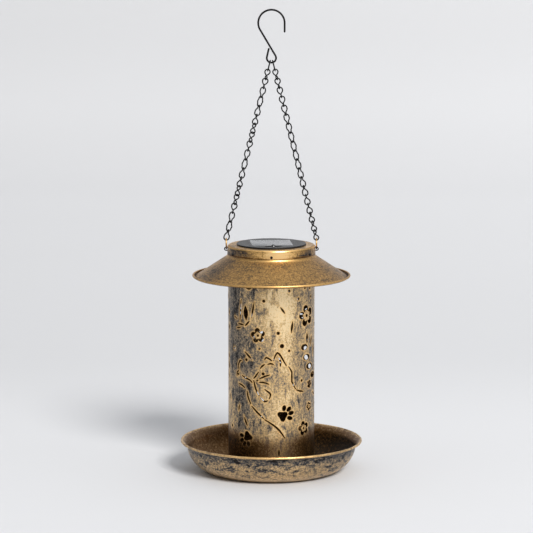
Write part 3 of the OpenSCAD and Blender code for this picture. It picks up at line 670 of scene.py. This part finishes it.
def make_feet():
    """The three feet bent inwards from the cylinder's lower edge."""
    out_r, half, length = CYL_R - 0.35, 6, 13
    parts = []
    corners = [(-half, -out_r), (half, -out_r), (half, length - out_r), (-half, length - out_r),
               (-half, -out_r)]
    outline = rounded(corners, 2.4)[:-1]
    hole = np.array(arc(0, -FOOT_R, FOOT_HOLE_R, 0, 345, 23))
    xy, tris = mesh_between(even(outline, 1.0), [hole], [])
    n = len(xy)
    flat = np.concatenate([np.column_stack([xy, np.full(n, z)]) for z in (FOOT_Z, FOOT_Z + SHEET)])
    faces = [tuple(reversed(f)) for f in tris] + [tuple(n + i for i in f) for f in tris]
    faces += [(i, j, n + j, n + i) for i, j in rim(tris)]
    for k in range(3):
        a = math.radians(30 + 120 * k)
        turned = flat.copy()
        turned[:, 0] = flat[:, 0] * math.cos(a) - flat[:, 1] * math.sin(a)
        turned[:, 1] = flat[:, 0] * math.sin(a) + flat[:, 1] * math.cos(a)
        parts.append((turned, faces))
    verts, faces = joined(parts)
    nothing = np.zeros(len(verts))
    add_mesh("cylinder_feet", verts, faces, inner_paint, "lantern", "antique_bronze", sharp=50,
             brush=verts / 1000, halo=nothing, grime=nothing + 0.4, coat=nothing)


make_cylinder()
make_feet()


# ---- roof, collar and tray ----

def make_roof():
    """The cone, from the fillet under the collar to the gutter and its rolled bead."""
    neck_r = CYL_R + SLIP + SHEET / 2
    fillet = NECK_FILLET
    low_r = ROOF_R - 2 * ROOF_BEAD - 1.4
    fillet_c = (neck_r + fillet, COLLAR_LOW - 0.2)
    slope_deg = math.degrees(ROOF_SLOPE)
    start = (fillet_c[0] - fillet * math.sin(ROOF_SLOPE), fillet_c[1] - fillet * math.cos(ROOF_SLOPE))
    low_z = start[1] - (low_r - start[0]) * math.tan(ROOF_SLOPE)
    gutter_c = (low_r + GUTTER_R * math.sin(ROOF_SLOPE), low_z + GUTTER_R * math.cos(ROOF_SLOPE))
    bead_c = (ROOF_R - ROOF_BEAD, gutter_c[1] + 0.3)
    middle = ([(neck_r, COLLAR_LOW)] + arc(*fillet_c, fillet, 180, 270 - slope_deg, 10)
              + arc(*gutter_c, GUTTER_R, 270 - slope_deg, 340, 12))
    middle = even(middle, 1.2)
    section = beaded(middle, SHEET / 2, bead_c, ROOF_BEAD)
    n = 320
    verts, faces, along = revolve(section, n)
    rad, z, azimuth = polar(verts)
    line = start[1] - (rad - start[0]) * math.tan(ROOF_SLOPE)
    # Darker underneath, in the gutter by the bead, and at the top of the neck under the collar.
    under = (z < line - 0.1) & (rad > COLLAR_R + 0.2) & (rad < low_r)
    bead = (np.clip(1 - (np.hypot(rad - bead_c[0], z - bead_c[1]) - ROOF_BEAD) / 0.6, 0, 1)
            * np.clip(1.4 + (rad - bead_c[0]) / ROOF_BEAD, 0, 1))
    crease = np.clip(1.9 - np.hypot(rad - gutter_c[0] - 0.2, z - gutter_c[1]) / 1.5, 0, 1)
    top = np.clip(1 - (COLLAR_LOW - z) / 0.35, 0, 1)
    grime = np.where(under, 1.0, np.maximum(crease * (1 - bead), top * 0.8))
    # The bead is bare and bright all round. The fillet under the collar gets a painted highlight all round,
    # and both get more painted highlight a little right of the front, where the key light falls.
    front = hump(azimuth, 12, 26)
    foot = hump(z, COLLAR_LOW - 2.0, 1.5)
    halo = np.where(under, 0, np.maximum(bead * (0.25 + 0.55 * front), foot * (0.2 + 0.6 * front)))
    # Painted shade: the cone is darker on its left and right sides, and in a small patch left of the front on
    # the upper cone.
    coat = (-0.22 * hump(azimuth, -60, 22) - 0.08 * hump(azimuth, 78, 34)
            - 0.08 * hump(azimuth, -25, 10) * hump(z, 244, 6))
    add_mesh("roof_cone", verts, faces, roof_paint, "lantern", "antique_bronze", stands_for=["roof_canopy"],
             sharp=60, brush=brush(verts, along, 70), halo=halo, grime=grime, coat=coat)


def make_collar():
    """The cap ring with its rounded shoulder and the flange round the lid."""
    in_r = COLLAR_R - SHEET
    c = (COLLAR_R - SHOULDER_R, COLLAR_TOP - SHOULDER_R)
    bottom = arc(COLLAR_R - 0.3, COLLAR_LOW + 0.3, 0.3, -90, 0, 3)
    section = ([(in_r, COLLAR_LOW + 0.02)] + bottom + [(COLLAR_R, COLLAR_LOW + 2 + i * 1.5) for i in range(4)]
               + arc(*c, SHOULDER_R, 0, 90, 9)
               + [(r, COLLAR_TOP) for r in np.linspace(COLLAR_R - SHOULDER_R, HOLE_R + 0.3, 12)[1:]]
               + arc(HOLE_R + 0.3, COLLAR_TOP - 0.3, 0.3, 90, 180, 3) + [(HOLE_R, COLLAR_TOP - SHEET)]
               + [(r, COLLAR_TOP - SHEET) for r in np.linspace(HOLE_R, COLLAR_R - SHOULDER_R, 8)[1:]]
               + arc(*c, SHOULDER_R - SHEET, 90, 0, 7)[1:]
               + [(in_r, COLLAR_LOW + 6.5 - i * 2) for i in range(3)])
    verts, faces, along = revolve(section, 288)
    rad, z, azimuth = polar(verts)
    inner = (rad < in_r + 0.05) & (z < COLLAR_TOP - SHEET + 0.05)
    edge = np.clip(1 - (z - COLLAR_LOW) / 1.1, 0, 1)
    shoulder = hump(z, COLLAR_TOP - 0.9, 0.9) * (rad > COLLAR_R - SHOULDER_R)
    seeded = np.random.default_rng(12)
    ragged = np.interp(azimuth, np.linspace(-180, 180, 180),
                       np.convolve(seeded.uniform(0, 1, 182), [0.3, 0.4, 0.3], "valid"))
    # The lit front, a little right of the middle: the collar is painted brighter there (painted highlight).
    # The darker ragged band along its lower edge is partly a dark seam and partly painted shade in the
    # crease, and it is left out at the front. The sides are painted darker (painted shade).
    lit_front = hump(azimuth, 8, 20)
    grime = np.where(inner, 1.0, np.clip(edge * (0.5 + 1.2 * ragged) * (1 - lit_front), 0, 1))
    flange = (z > COLLAR_TOP - 0.1) & ~inner
    coat = np.where(flange, -0.02,
                    0.7 * lit_front - 0.28 * hump(azimuth, -55, 26) - 0.36 * hump(azimuth, 58, 22))
    add_mesh("collar_cap", verts, faces, collar_paint, "lantern", "antique_bronze",
             stands_for=["roof_collar"], sharp=50, brush=brush(verts, along, 50),
             halo=np.where(inner, 0, shoulder * 0.55), grime=grime, coat=coat)


def make_tray():
    """The dish with its raised middle, six drain holes, three screw holes and a flared lip."""
    mid = SHEET / 2
    curve_c = (TRAY_R - 7 - TRAY_CURVE, TRAY_CURVE)
    bead_c = (TRAY_R - TRAY_BEAD, TRAY_CURVE + 2.3)
    flat_r = 55.6
    middle = (rounded([(flat_r, TRAY_RAISE + mid), (57, TRAY_RAISE + mid), (60, mid), (curve_c[0], mid)],
                      1.4, 6)[:-1]
              + arc(*curve_c, TRAY_CURVE - mid, 270, 352, 40)
              + rounded([(TRAY_R - 6.9, TRAY_CURVE - 3.4), (TRAY_R - 5.6, TRAY_CURVE - 0.2),
                         (TRAY_R - 2 * TRAY_BEAD, bead_c[1])], 1.6, 6)[1:])
    section = beaded(middle, mid, bead_c, TRAY_BEAD)
    n = 320
    verts, faces, along = revolve(section, n, closed=False)
    top_ring = [(verts[j, 0], verts[j, 1]) for j in range(n)]
    circle = np.array(arc(0, 0, 1, 0, 345, 23))
    places = [(DRAIN_R, math.radians(60 * k), DRAIN_HOLE_R) for k in range(6)]
    places += [(FOOT_R, math.radians(30 + 120 * k), SCREW_HOLE_R) for k in range(3)]
    places = [(r * math.sin(a), -r * math.cos(a), d) for r, a, d in places]
    holes = [circle * d + [x, y] for x, y, d in places]
    extra = [(r * math.cos(a + r), r * math.sin(a + r)) for r in np.linspace(3, flat_r - 3, 14)
             for a in np.linspace(0, 2 * math.pi, max(8, int(r * 1.8)), endpoint=False)]
    extra = [e for e in extra if all(math.dist(e, (x, y)) > d + 0.8 for x, y, d in places)]
    xy, tris = mesh_between(top_ring, holes, extra)
    m = len(xy)
    base = len(verts)
    disc = np.concatenate([np.column_stack([xy, np.full(m, section[0][1])]),
                           np.column_stack([xy, np.full(m, section[-1][1])])])
    faces += [tuple(base + i for i in f) for f in tris]
    faces += [tuple(base + m + i for i in reversed(f)) for f in tris]
    faces += [(base + i, base + m + i, base + m + j, base + j)
              for i, j in rim(tris) if math.hypot(*xy[i]) < flat_r - 0.2]
    disc_along = np.concatenate([np.hypot(*xy.T) - flat_r, along[-1] + flat_r - np.hypot(*xy.T)])
    verts = np.concatenate([verts, disc])
    along = np.concatenate([along, disc_along])
    rad, z, azimuth = polar(verts)
    upper = along < along[: n * len(section)].max() / 2
    bead = np.clip(1 - (np.hypot(rad - bead_c[0], z - bead_c[1]) - TRAY_BEAD) / 0.5, 0, 1)
    lip = upper & (z > TRAY_CURVE - 2.5)
    well = upper & ~lip
    dish = np.clip((TRAY_CURVE - 3 - z) / 10, 0, 1)
    # The well is darker towards its floor and on its right, which faces away from the key light: painted
    # shade. The left of the well is lighter than the right.
    grime = np.where(well, (0.56 + 0.18 * dish) * (1.08 + 0.42 * np.sin(np.radians(azimuth))),
                     np.where(lip, 0.5 * (1 - bead), 0.0))
    # Painted light on the outer wall: lighter low down, where it faces the bright floor (painted reflection),
    # and darker just under the lip (painted shade).
    outer_wall_light = 0.22 * np.clip((17 - z) / 15, 0, 1) - 0.3 * hump(z, TRAY_CURVE - 3, 5.5)
    coat = np.where(upper, -0.1, outer_wall_light) * (1 - bead) - 0.08 * hump(azimuth, 48, 22)
    foot = np.where(upper, 0, hump(rad, 69, 5))
    # The bead is bare and bright all round, with a painted highlight towards the front, where the key light
    # falls.
    front = hump(azimuth, 5, 40)
    halo = np.maximum(bead * (0.25 + 0.45 * front), foot * 0.15)
    add_mesh("seed_tray", verts, faces, tray_paint, "lantern", "tray_bronze", stands_for=["feed_tray"],
             merge=True, sharp=60, brush=brush(verts, along, 85), halo=halo, grime=grime, coat=coat)


make_roof()
make_collar()
make_tray()


# ---- hook, chains and rings ----

def in_xz(points):
    return [(x, 0.0, z) for x, z in points]


def make_hook():
    """The S-hook: a straight nose, the large bend, and the closed eye with its short end."""
    tilt = math.degrees(math.asin((HOOK_BEND + HOOK_EYE) / (HOOK_BEND_Z - HOOK_EYE_Z)))
    nose = [(HOOK_BEND, HOOK_BEND_Z - HOOK_NOSE), (HOOK_BEND, HOOK_BEND_Z)]
    big = arc(0, HOOK_BEND_Z, HOOK_BEND, 0, 180 + tilt, 60)
    small = arc(0, HOOK_EYE_Z, HOOK_EYE, tilt, HOOK_OPEN - 360, 48)
    end = small[-1]
    a = math.radians(HOOK_OPEN)
    tip = (end[0] + math.sin(a) * HOOK_TIP, end[1] - math.cos(a) * HOOK_TIP)
    path = (even(nose, 1.0)[:-1] + big + even([big[-1], small[0]], 1.2)[1:-1] + small
            + even([end, tip], 1.0)[1:])
    verts, faces = sweep(in_xz(path), HOOK_WIRE / 2, 20)
    add_mesh("hook_wire", verts, faces, wire_black, "hook", "black_wire", stands_for=["s_hook"])


def link_path(turn, twist, length):
    """The centre line of a twisted link that hangs from the origin."""
    r, low = LINK_BEND, LINK_BEND - length
    turn, twist = math.radians(turn), math.radians(twist)

    def around(x, ang, z):
        return (x * math.cos(ang), x * math.sin(ang), z)

    def side(sign, down):
        ts = np.linspace(0, 1, LINK_STEPS + 2)[1:-1]
        pts = []
        for t in (ts if down else ts[::-1]):
            ease = t * t * (3 - 2 * t)
            x = sign * r * (1 - 0.06 * math.sin(math.pi * t))
            pts.append(around(x, turn + twist * ease, -r + (low + r) * t))
        return pts

    top = [around(r * math.cos(a), turn, r * math.sin(a) - r) for a in np.linspace(0, math.pi, LINK_STEPS)]
    bottom = [around(r * math.cos(a), turn + twist, low + r * math.sin(a))
              for a in np.linspace(math.pi, 2 * math.pi, LINK_STEPS)]
    return np.array(top + side(-1, True) + bottom + side(1, False))


def make_chains():
    first_r = HOOK_EYE - HOOK_WIRE / 2 - GAP - LINK_WIRE / 2
    a = math.radians(24)
    start = (first_r * math.sin(a), HOOK_EYE_Z - first_r * math.cos(a))
    run = (RING_X - start[0], RING_MID + RING_R - start[1])
    lean = math.atan2(run[0], -run[1])
    total = math.hypot(*run) + RING_WIRE / 2 + LINK_WIRE / 2 + GAP
    length = (total + (LINKS - 1) * LINK_WIRE + GAP + (LINKS - 2) * LINK_GAP) / LINKS
    # The wire's thickness along a link, with a weld in the middle of its last side.
    thick = np.full(4 * LINK_STEPS, LINK_WIRE / 2)
    weld = 3 * LINK_STEPS + LINK_STEPS // 2
    thick[weld - 1:weld + 2] *= (1.03, 0.9, 1.03)
    for side, name, first, step in ((-1, "left", 5, -26), (1, "right", 10.5, -7.5)):
        b = -side * lean
        parts = []
        for i in range(LINKS):
            turn = (90, 18)[i] if i < 2 else first + step * (i - 2)
            at = 0 if i == 0 else i * (length - LINK_WIRE) - GAP - (i - 1) * LINK_GAP
            p = link_path(turn, 90 if i else 0, length) - [0, 0, at]
            placed = np.stack([side * start[0] + p[:, 0] * math.cos(b) + p[:, 2] * math.sin(b), p[:, 1],
                               start[1] - p[:, 0] * math.sin(b) + p[:, 2] * math.cos(b)], 1)
            parts.append(sweep(placed, thick, 14, closed=True))
        verts, faces = parts[0]
        add_mesh(name + "_first_link", verts, faces, wire_black, "top_links", "black_wire",
                 stands_for=[name + "_top_link"])
        verts, faces = joined(parts[1:])
        add_mesh(name + "_twist_links", verts, faces, wire_black, "chains", "black_wire",
                 stands_for=[name + "_chain"])


def make_rings():
    p = Paint("ring_bronze", Metallic=0.9)
    at = p.place()
    patch = p.noise(at, 260, 4, 0.6)
    height = p.node("ShaderNodeSeparateXYZ")
    p.link(p.node("ShaderNodeTexCoord").outputs["Object"], height.inputs["Vector"])
    # Darker towards the bottom of the ring, by the collar.
    up = p.fit(height.outputs["Z"], FLOOR + (RING_LOW - 1) / 1000, FLOOR + (RING_MID + 2) / 1000, -0.32, 0.12)
    tone = p.calc("ADD", patch, up, clamp=True)
    p.set("Base Color", p.ramp(tone, [(0.2, (0.018, 0.014, 0.01)), (0.42, (0.22, 0.12, 0.045)),
                                      (0.58, (0.62, 0.38, 0.15))]))
    p.set("Roughness", p.fit(patch, 0.3, 0.7, 0.46, 0.3))
    p.bump(p.noise(at, 800, 3, 0.6), 0.2, 0.0002)
    for side, name in ((-1, "left"), (1, "right")):
        # The two ends of the wire meet at the ring's far side and leave a fine split.
        path = [(side * RING_X, math.cos(t) * RING_R, RING_MID + math.sin(t) * RING_R)
                for t in np.linspace(math.radians(1.1), math.radians(358.9), 72)]
        verts, faces = sweep(path, RING_WIRE / 2 - 0.001, 18)
        add_mesh(name + "_split_ring", verts, faces, p.mat, "chains", "ring_bronze",
                 stands_for=[name + "_ring"])


make_hook()
make_chains()
make_rings()


# ---- lighting unit ----

def unit_turn(points):
    """From the unit's own axes, turned with the lid."""
    p = np.array(points, float)
    c, s = math.cos(LID_TURN), math.sin(LID_TURN)
    return np.column_stack([p[:, 0] * c - p[:, 1] * s, p[:, 0] * s + p[:, 1] * c, p[:, 2]])


def slab(x0, x1, y0, y1, z0, z1, corner, edge):
    """A flat plate with rounded corners and a softened upper edge."""
    def outline(inset, z):
        pts = []
        r = max(corner - inset, 0.02)
        for cx, cy, a0 in ((x1 - corner, y1 - corner, 0), (x0 + corner, y1 - corner, 90),
                           (x0 + corner, y0 + corner, 180), (x1 - corner, y0 + corner, 270)):
            pts += [(x, y, z) for x, y in arc(cx, cy, r, a0, a0 + 90, 5)]
        return pts
    layers = [outline(0, z0)] + [outline(edge * (1 - math.cos(k)), z1 - edge + edge * math.sin(k))
                                 for k in np.linspace(0, math.pi / 2, 4)]
    n = len(layers[0])
    verts = np.array([q for layer in layers for q in layer])
    faces = [(i * n + j, i * n + (j + 1) % n, (i + 1) * n + (j + 1) % n, (i + 1) * n + j)
             for i in range(len(layers) - 1) for j in range(n)]
    faces += [tuple(reversed(range(n))), tuple(range((len(layers) - 1) * n, len(layers) * n))]
    return verts, faces


def make_panel():
    """The cell plate in the lid, with its fine conductor lines."""
    half = PANEL_W / 2
    z1 = LID_TOP
    p = Paint("cell_board", Metallic=0.0, IOR=1.5, Coat_Weight=0.35, Coat_Roughness=0.05)
    at = p.node("ShaderNodeAttribute", attribute_name="plate").outputs["Vector"]
    xyz = p.node("ShaderNodeSeparateXYZ")
    p.link(at, xyz.inputs["Vector"])

    def stripes(value, pitch, width):
        """1 on lines of one width at an even pitch."""
        cell = p.calc("FRACT", p.calc("ADD", p.calc("MULTIPLY", value, 1 / pitch), 40))
        away = p.calc("ABSOLUTE", p.calc("SUBTRACT", cell, 0.5))
        return p.fit(away, 0.5 - width / pitch / 2 - 0.015, 0.5 - width / pitch / 2, 0, 1)

    fingers = stripes(xyz.outputs["Y"], 0.0016, 0.00022)
    bars = stripes(xyz.outputs["X"], 0.0108, 0.0005)
    lines = p.calc("MULTIPLY", p.calc("MAXIMUM", fingers, bars), 0.18)
    grain = p.noise(at, 420, 3, 0.6)
    silicon = p.ramp(grain, [(0.3, (0.03, 0.037, 0.05)), (0.7, (0.042, 0.05, 0.062))])
    p.set("Base Color", p.mix(lines, silicon, (0.55, 0.56, 0.56)))
    p.set("Roughness", p.fit(grain, 0.3, 0.7, 0.24, 0.28))
    p.bump(p.noise(at, 160, 2, 0.5), 0.006, 0.0002)
    verts, faces = slab(-half, half, PANEL_Y - half, PANEL_Y + half, z1 - 1.1, z1 - 0.02, 1.0, 0.22)
    plate = np.column_stack([verts[:, 0], verts[:, 1] - PANEL_Y, verts[:, 2] * 0]) / 1000
    add_mesh("cell_plate", unit_turn(verts), faces, p.mat, "solar_unit", "cell_glass",
             stands_for=["solar_panel"], sharp=30, plate=plate)


make_panel()

lid_black = moulded("lid_black", (0.008, 0.008, 0.0085), (0.015, 0.015, 0.016), 0.36, 1500, 0.04,
                    Specular_IOR_Level=0.2)
case_black = moulded("case_black", (0.014, 0.014, 0.015), (0.026, 0.026, 0.027), 0.46, 1300, 0.2)
zinc = plated("zinc_plate", (0.42, 0.43, 0.45), (0.66, 0.67, 0.66))
nickel = plated("nickel_plate", (0.55, 0.54, 0.51), (0.74, 0.73, 0.7), 0.22)
rubber = moulded("foam_rubber", (0.02, 0.02, 0.02), (0.04, 0.04, 0.04), 0.75, 900, 0.5)
sensor = moulded("sensor_dome", (0.006, 0.006, 0.007), (0.012, 0.012, 0.013), 0.12, 400, 0.03,
                 Coat_Weight=1.0)
insulation = moulded("red_insulation", (0.36, 0.02, 0.015), (0.5, 0.035, 0.025), 0.35, 500, 0.06)
grey_knob = moulded("grey_knob", (0.07, 0.07, 0.072), (0.11, 0.11, 0.112), 0.4, 1200, 0.15)


def board_material():
    """Green lacquer over copper tracks and solder."""
    p = Paint("green_board", Roughness=0.35, Coat_Weight=0.5)
    at = p.place()
    tracks = p.fit(p.noise(p.place(None, (1, 0.25, 1)), 620, 0, 0.5), 0.53, 0.55)
    solder = p.fit(p.noise(at, 480, 0, 0.5), 0.68, 0.7)
    base = p.mix(tracks, (0.012, 0.085, 0.03), (0.03, 0.16, 0.06))
    p.set("Base Color", p.mix(solder, base, (0.6, 0.6, 0.58)))
    p.bump(p.calc("ADD", tracks, solder), 0.3, 0.0001)
    return p.mat


def wrap_material():
    """The cell's plain sleeve, with a pale band at one end."""
    p = Paint("cell_wrap", Coat_Weight=0.6, Coat_Roughness=0.1)
    at = p.place()
    band = p.node("ShaderNodeSeparateXYZ")
    p.link(at, band.inputs["Vector"])
    end = p.fit(band.outputs["X"], 0.0135, 0.0137)
    p.set("Base Color", p.mix(end, (0.2, 0.33, 0.13), (0.72, 0.72, 0.7)))
    p.set("Roughness", p.fit(p.noise(at, 300, 3), 0.3, 0.7, 0.26, 0.4))
    p.bump(p.noise(p.place(None, (0.15, 1, 1)), 300, 2), 0.1, 0.0002)
    return p.mat


def lamp_material():
    """Clear, slightly yellow plastic."""
    p = Paint("lamp_clear", Transmission_Weight=0.85, IOR=1.5)
    at = p.place()
    p.set("Base Color", p.ramp(p.noise(at, 300, 2), [(0.3, (0.9, 0.88, 0.78)), (0.7, (0.97, 0.96, 0.9))]))
    p.set("Roughness", p.fit(p.noise(at, 700, 2), 0.3, 0.7, 0.06, 0.14))
    return p.mat


for name, material in {
    "hanger_eyes": wire_black, "collar_screws": screw_black, "tray_screws": zinc, "tray_nuts": zinc,
    "solar_housing": lid_black, "dusk_sensor": sensor, "lid_gasket": rubber,
    "circuit_board": board_material(), "led_lamp": lamp_material(), "base_cover": case_black,
    "housing_screws": zinc, "battery": wrap_material(), "battery_spring": nickel, "battery_plate": nickel,
    "lead_wires": insulation, "battery_door": case_black, "switch_slider": grey_knob,
}.items():
    for material_slot in NODE[name].material_slots:
        material_slot.material = material


# ---- stage, light and camera ----

def make_stage():
    """A pale paper floor that curves up high behind the object, and low and far away on the other sides."""
    p = Paint("backdrop_paper", Roughness=0.85)
    at = p.place()
    split = p.node("ShaderNodeSeparateXYZ")
    p.link(at, split.inputs["Vector"])
    back = 4.4
    # Painted light on the paper: lighter near the front, darker further back and up the curve, and lighter to
    # the right, towards the key light.
    depth = p.fit(split.outputs["Y"], -0.6, back, smooth=False)
    tone = p.ramp(depth, [(y, (v, v, v)) for y, v in ((0.07, 0.625), (0.15, 0.6), (0.28, 0.545), (0.6, 0.553),
                                                      (0.75, 0.51), (0.84, 0.465))], smooth=True)
    tone = p.calc("MULTIPLY", tone, p.fit(split.outputs["X"], -0.6, 0.6, 0.957, 1.053, smooth=False))
    tone = p.calc("ADD", tone, p.calc("MULTIPLY", p.noise(at, 1.3, 2), 0.012))
    p.set("Base Color", p.ramp(tone, [(0.0, (0, 0, 0)), (1.0, (0.985, 0.995, 1.02))]))

    def curve_up(end, height, bend=1.8):
        """Half a profile, from the flat floor to the top of its raised end."""
        out = math.copysign(bend, end)
        turns = np.linspace(0, math.pi / 2, 25)
        return ([(end - 2 * out, 0.0)]
                + [(end + out * (math.sin(a) - 1), bend - bend * math.cos(a)) for a in turns]
                + [(end, height)])

    across = curve_up(-12.0, 2.4)[::-1] + curve_up(12.0, 2.4)
    deep = curve_up(-14.0, 2.4)[::-1] + curve_up(back, 6.0)
    mesh = bpy.data.meshes.new("floor_sweep")
    verts = [(x, y, FLOOR + zx + zy) for y, zy in deep for x, zx in across]
    m = len(across)
    faces = [(k, k + 1, k + m + 1, k + m)
             for i in range(len(deep) - 1) for k in range(i * m, i * m + m - 1)]
    mesh.from_pydata(verts, [], faces)
    mesh.polygons.foreach_set("use_smooth", [True] * len(mesh.polygons))
    mesh.materials.append(p.mat)
    obj = bpy.data.objects.new("floor_sweep", mesh)
    bpy.context.scene.collection.objects.link(obj)


def sun(name, azimuth, elevation, spread, strength, colour=(1, 1, 1)):
    """A far lamp of the given angular size. Azimuth 0 is the front, growing towards +X."""
    data = bpy.data.lights.new(name, "SUN")
    data.angle = math.radians(spread)
    data.energy = strength
    data.color = colour
    obj = bpy.data.objects.new(name, data)
    a, e = math.radians(azimuth), math.radians(elevation)
    obj.rotation_mode = "QUATERNION"
    towards = Vector((math.sin(a) * math.cos(e), -math.cos(a) * math.cos(e), math.sin(e)))
    obj.rotation_quaternion = towards.to_track_quat("Z", "Y")
    bpy.context.scene.collection.objects.link(obj)


def make_world():
    """A soft light overhead that fades towards the horizon, less so on the right."""
    world = bpy.data.worlds.new("studio")
    bpy.context.scene.world = world
    world.use_nodes = True
    w = Nodes(world.node_tree)
    background = w.tree.nodes["Background"]
    background.inputs["Color"].default_value = (0.96, 0.975, 1.0, 1)
    split = w.node("ShaderNodeSeparateXYZ")
    w.link(w.node("ShaderNodeTexCoord").outputs["Generated"], split.inputs["Vector"])
    total = w.calc("ADD", w.fit(split.outputs["Z"], 0.2, 0.9, 0.0, 0.78),
                   w.fit(split.outputs["X"], -0.6, 0.9, 0.03, 0.16))
    w.link(total, background.inputs["Strength"])


make_stage()
make_world()
sun("key", 25, 35, 20, 3.7, (1.0, 0.985, 0.965))

camera_data = bpy.data.cameras.new("camera")
camera_data.sensor_width = 36
camera_data.lens = 201.95
camera = bpy.data.objects.new("camera", camera_data)
camera.location = (-0.0056, -3.4, FLOOR + 0.749)
camera.rotation_euler = (math.radians(90 - 8.54), 0, 0)
bpy.context.scene.collection.objects.link(camera)
bpy.context.scene.camera = camera
bpy.context.scene.view_settings.view_transform = "Standard"
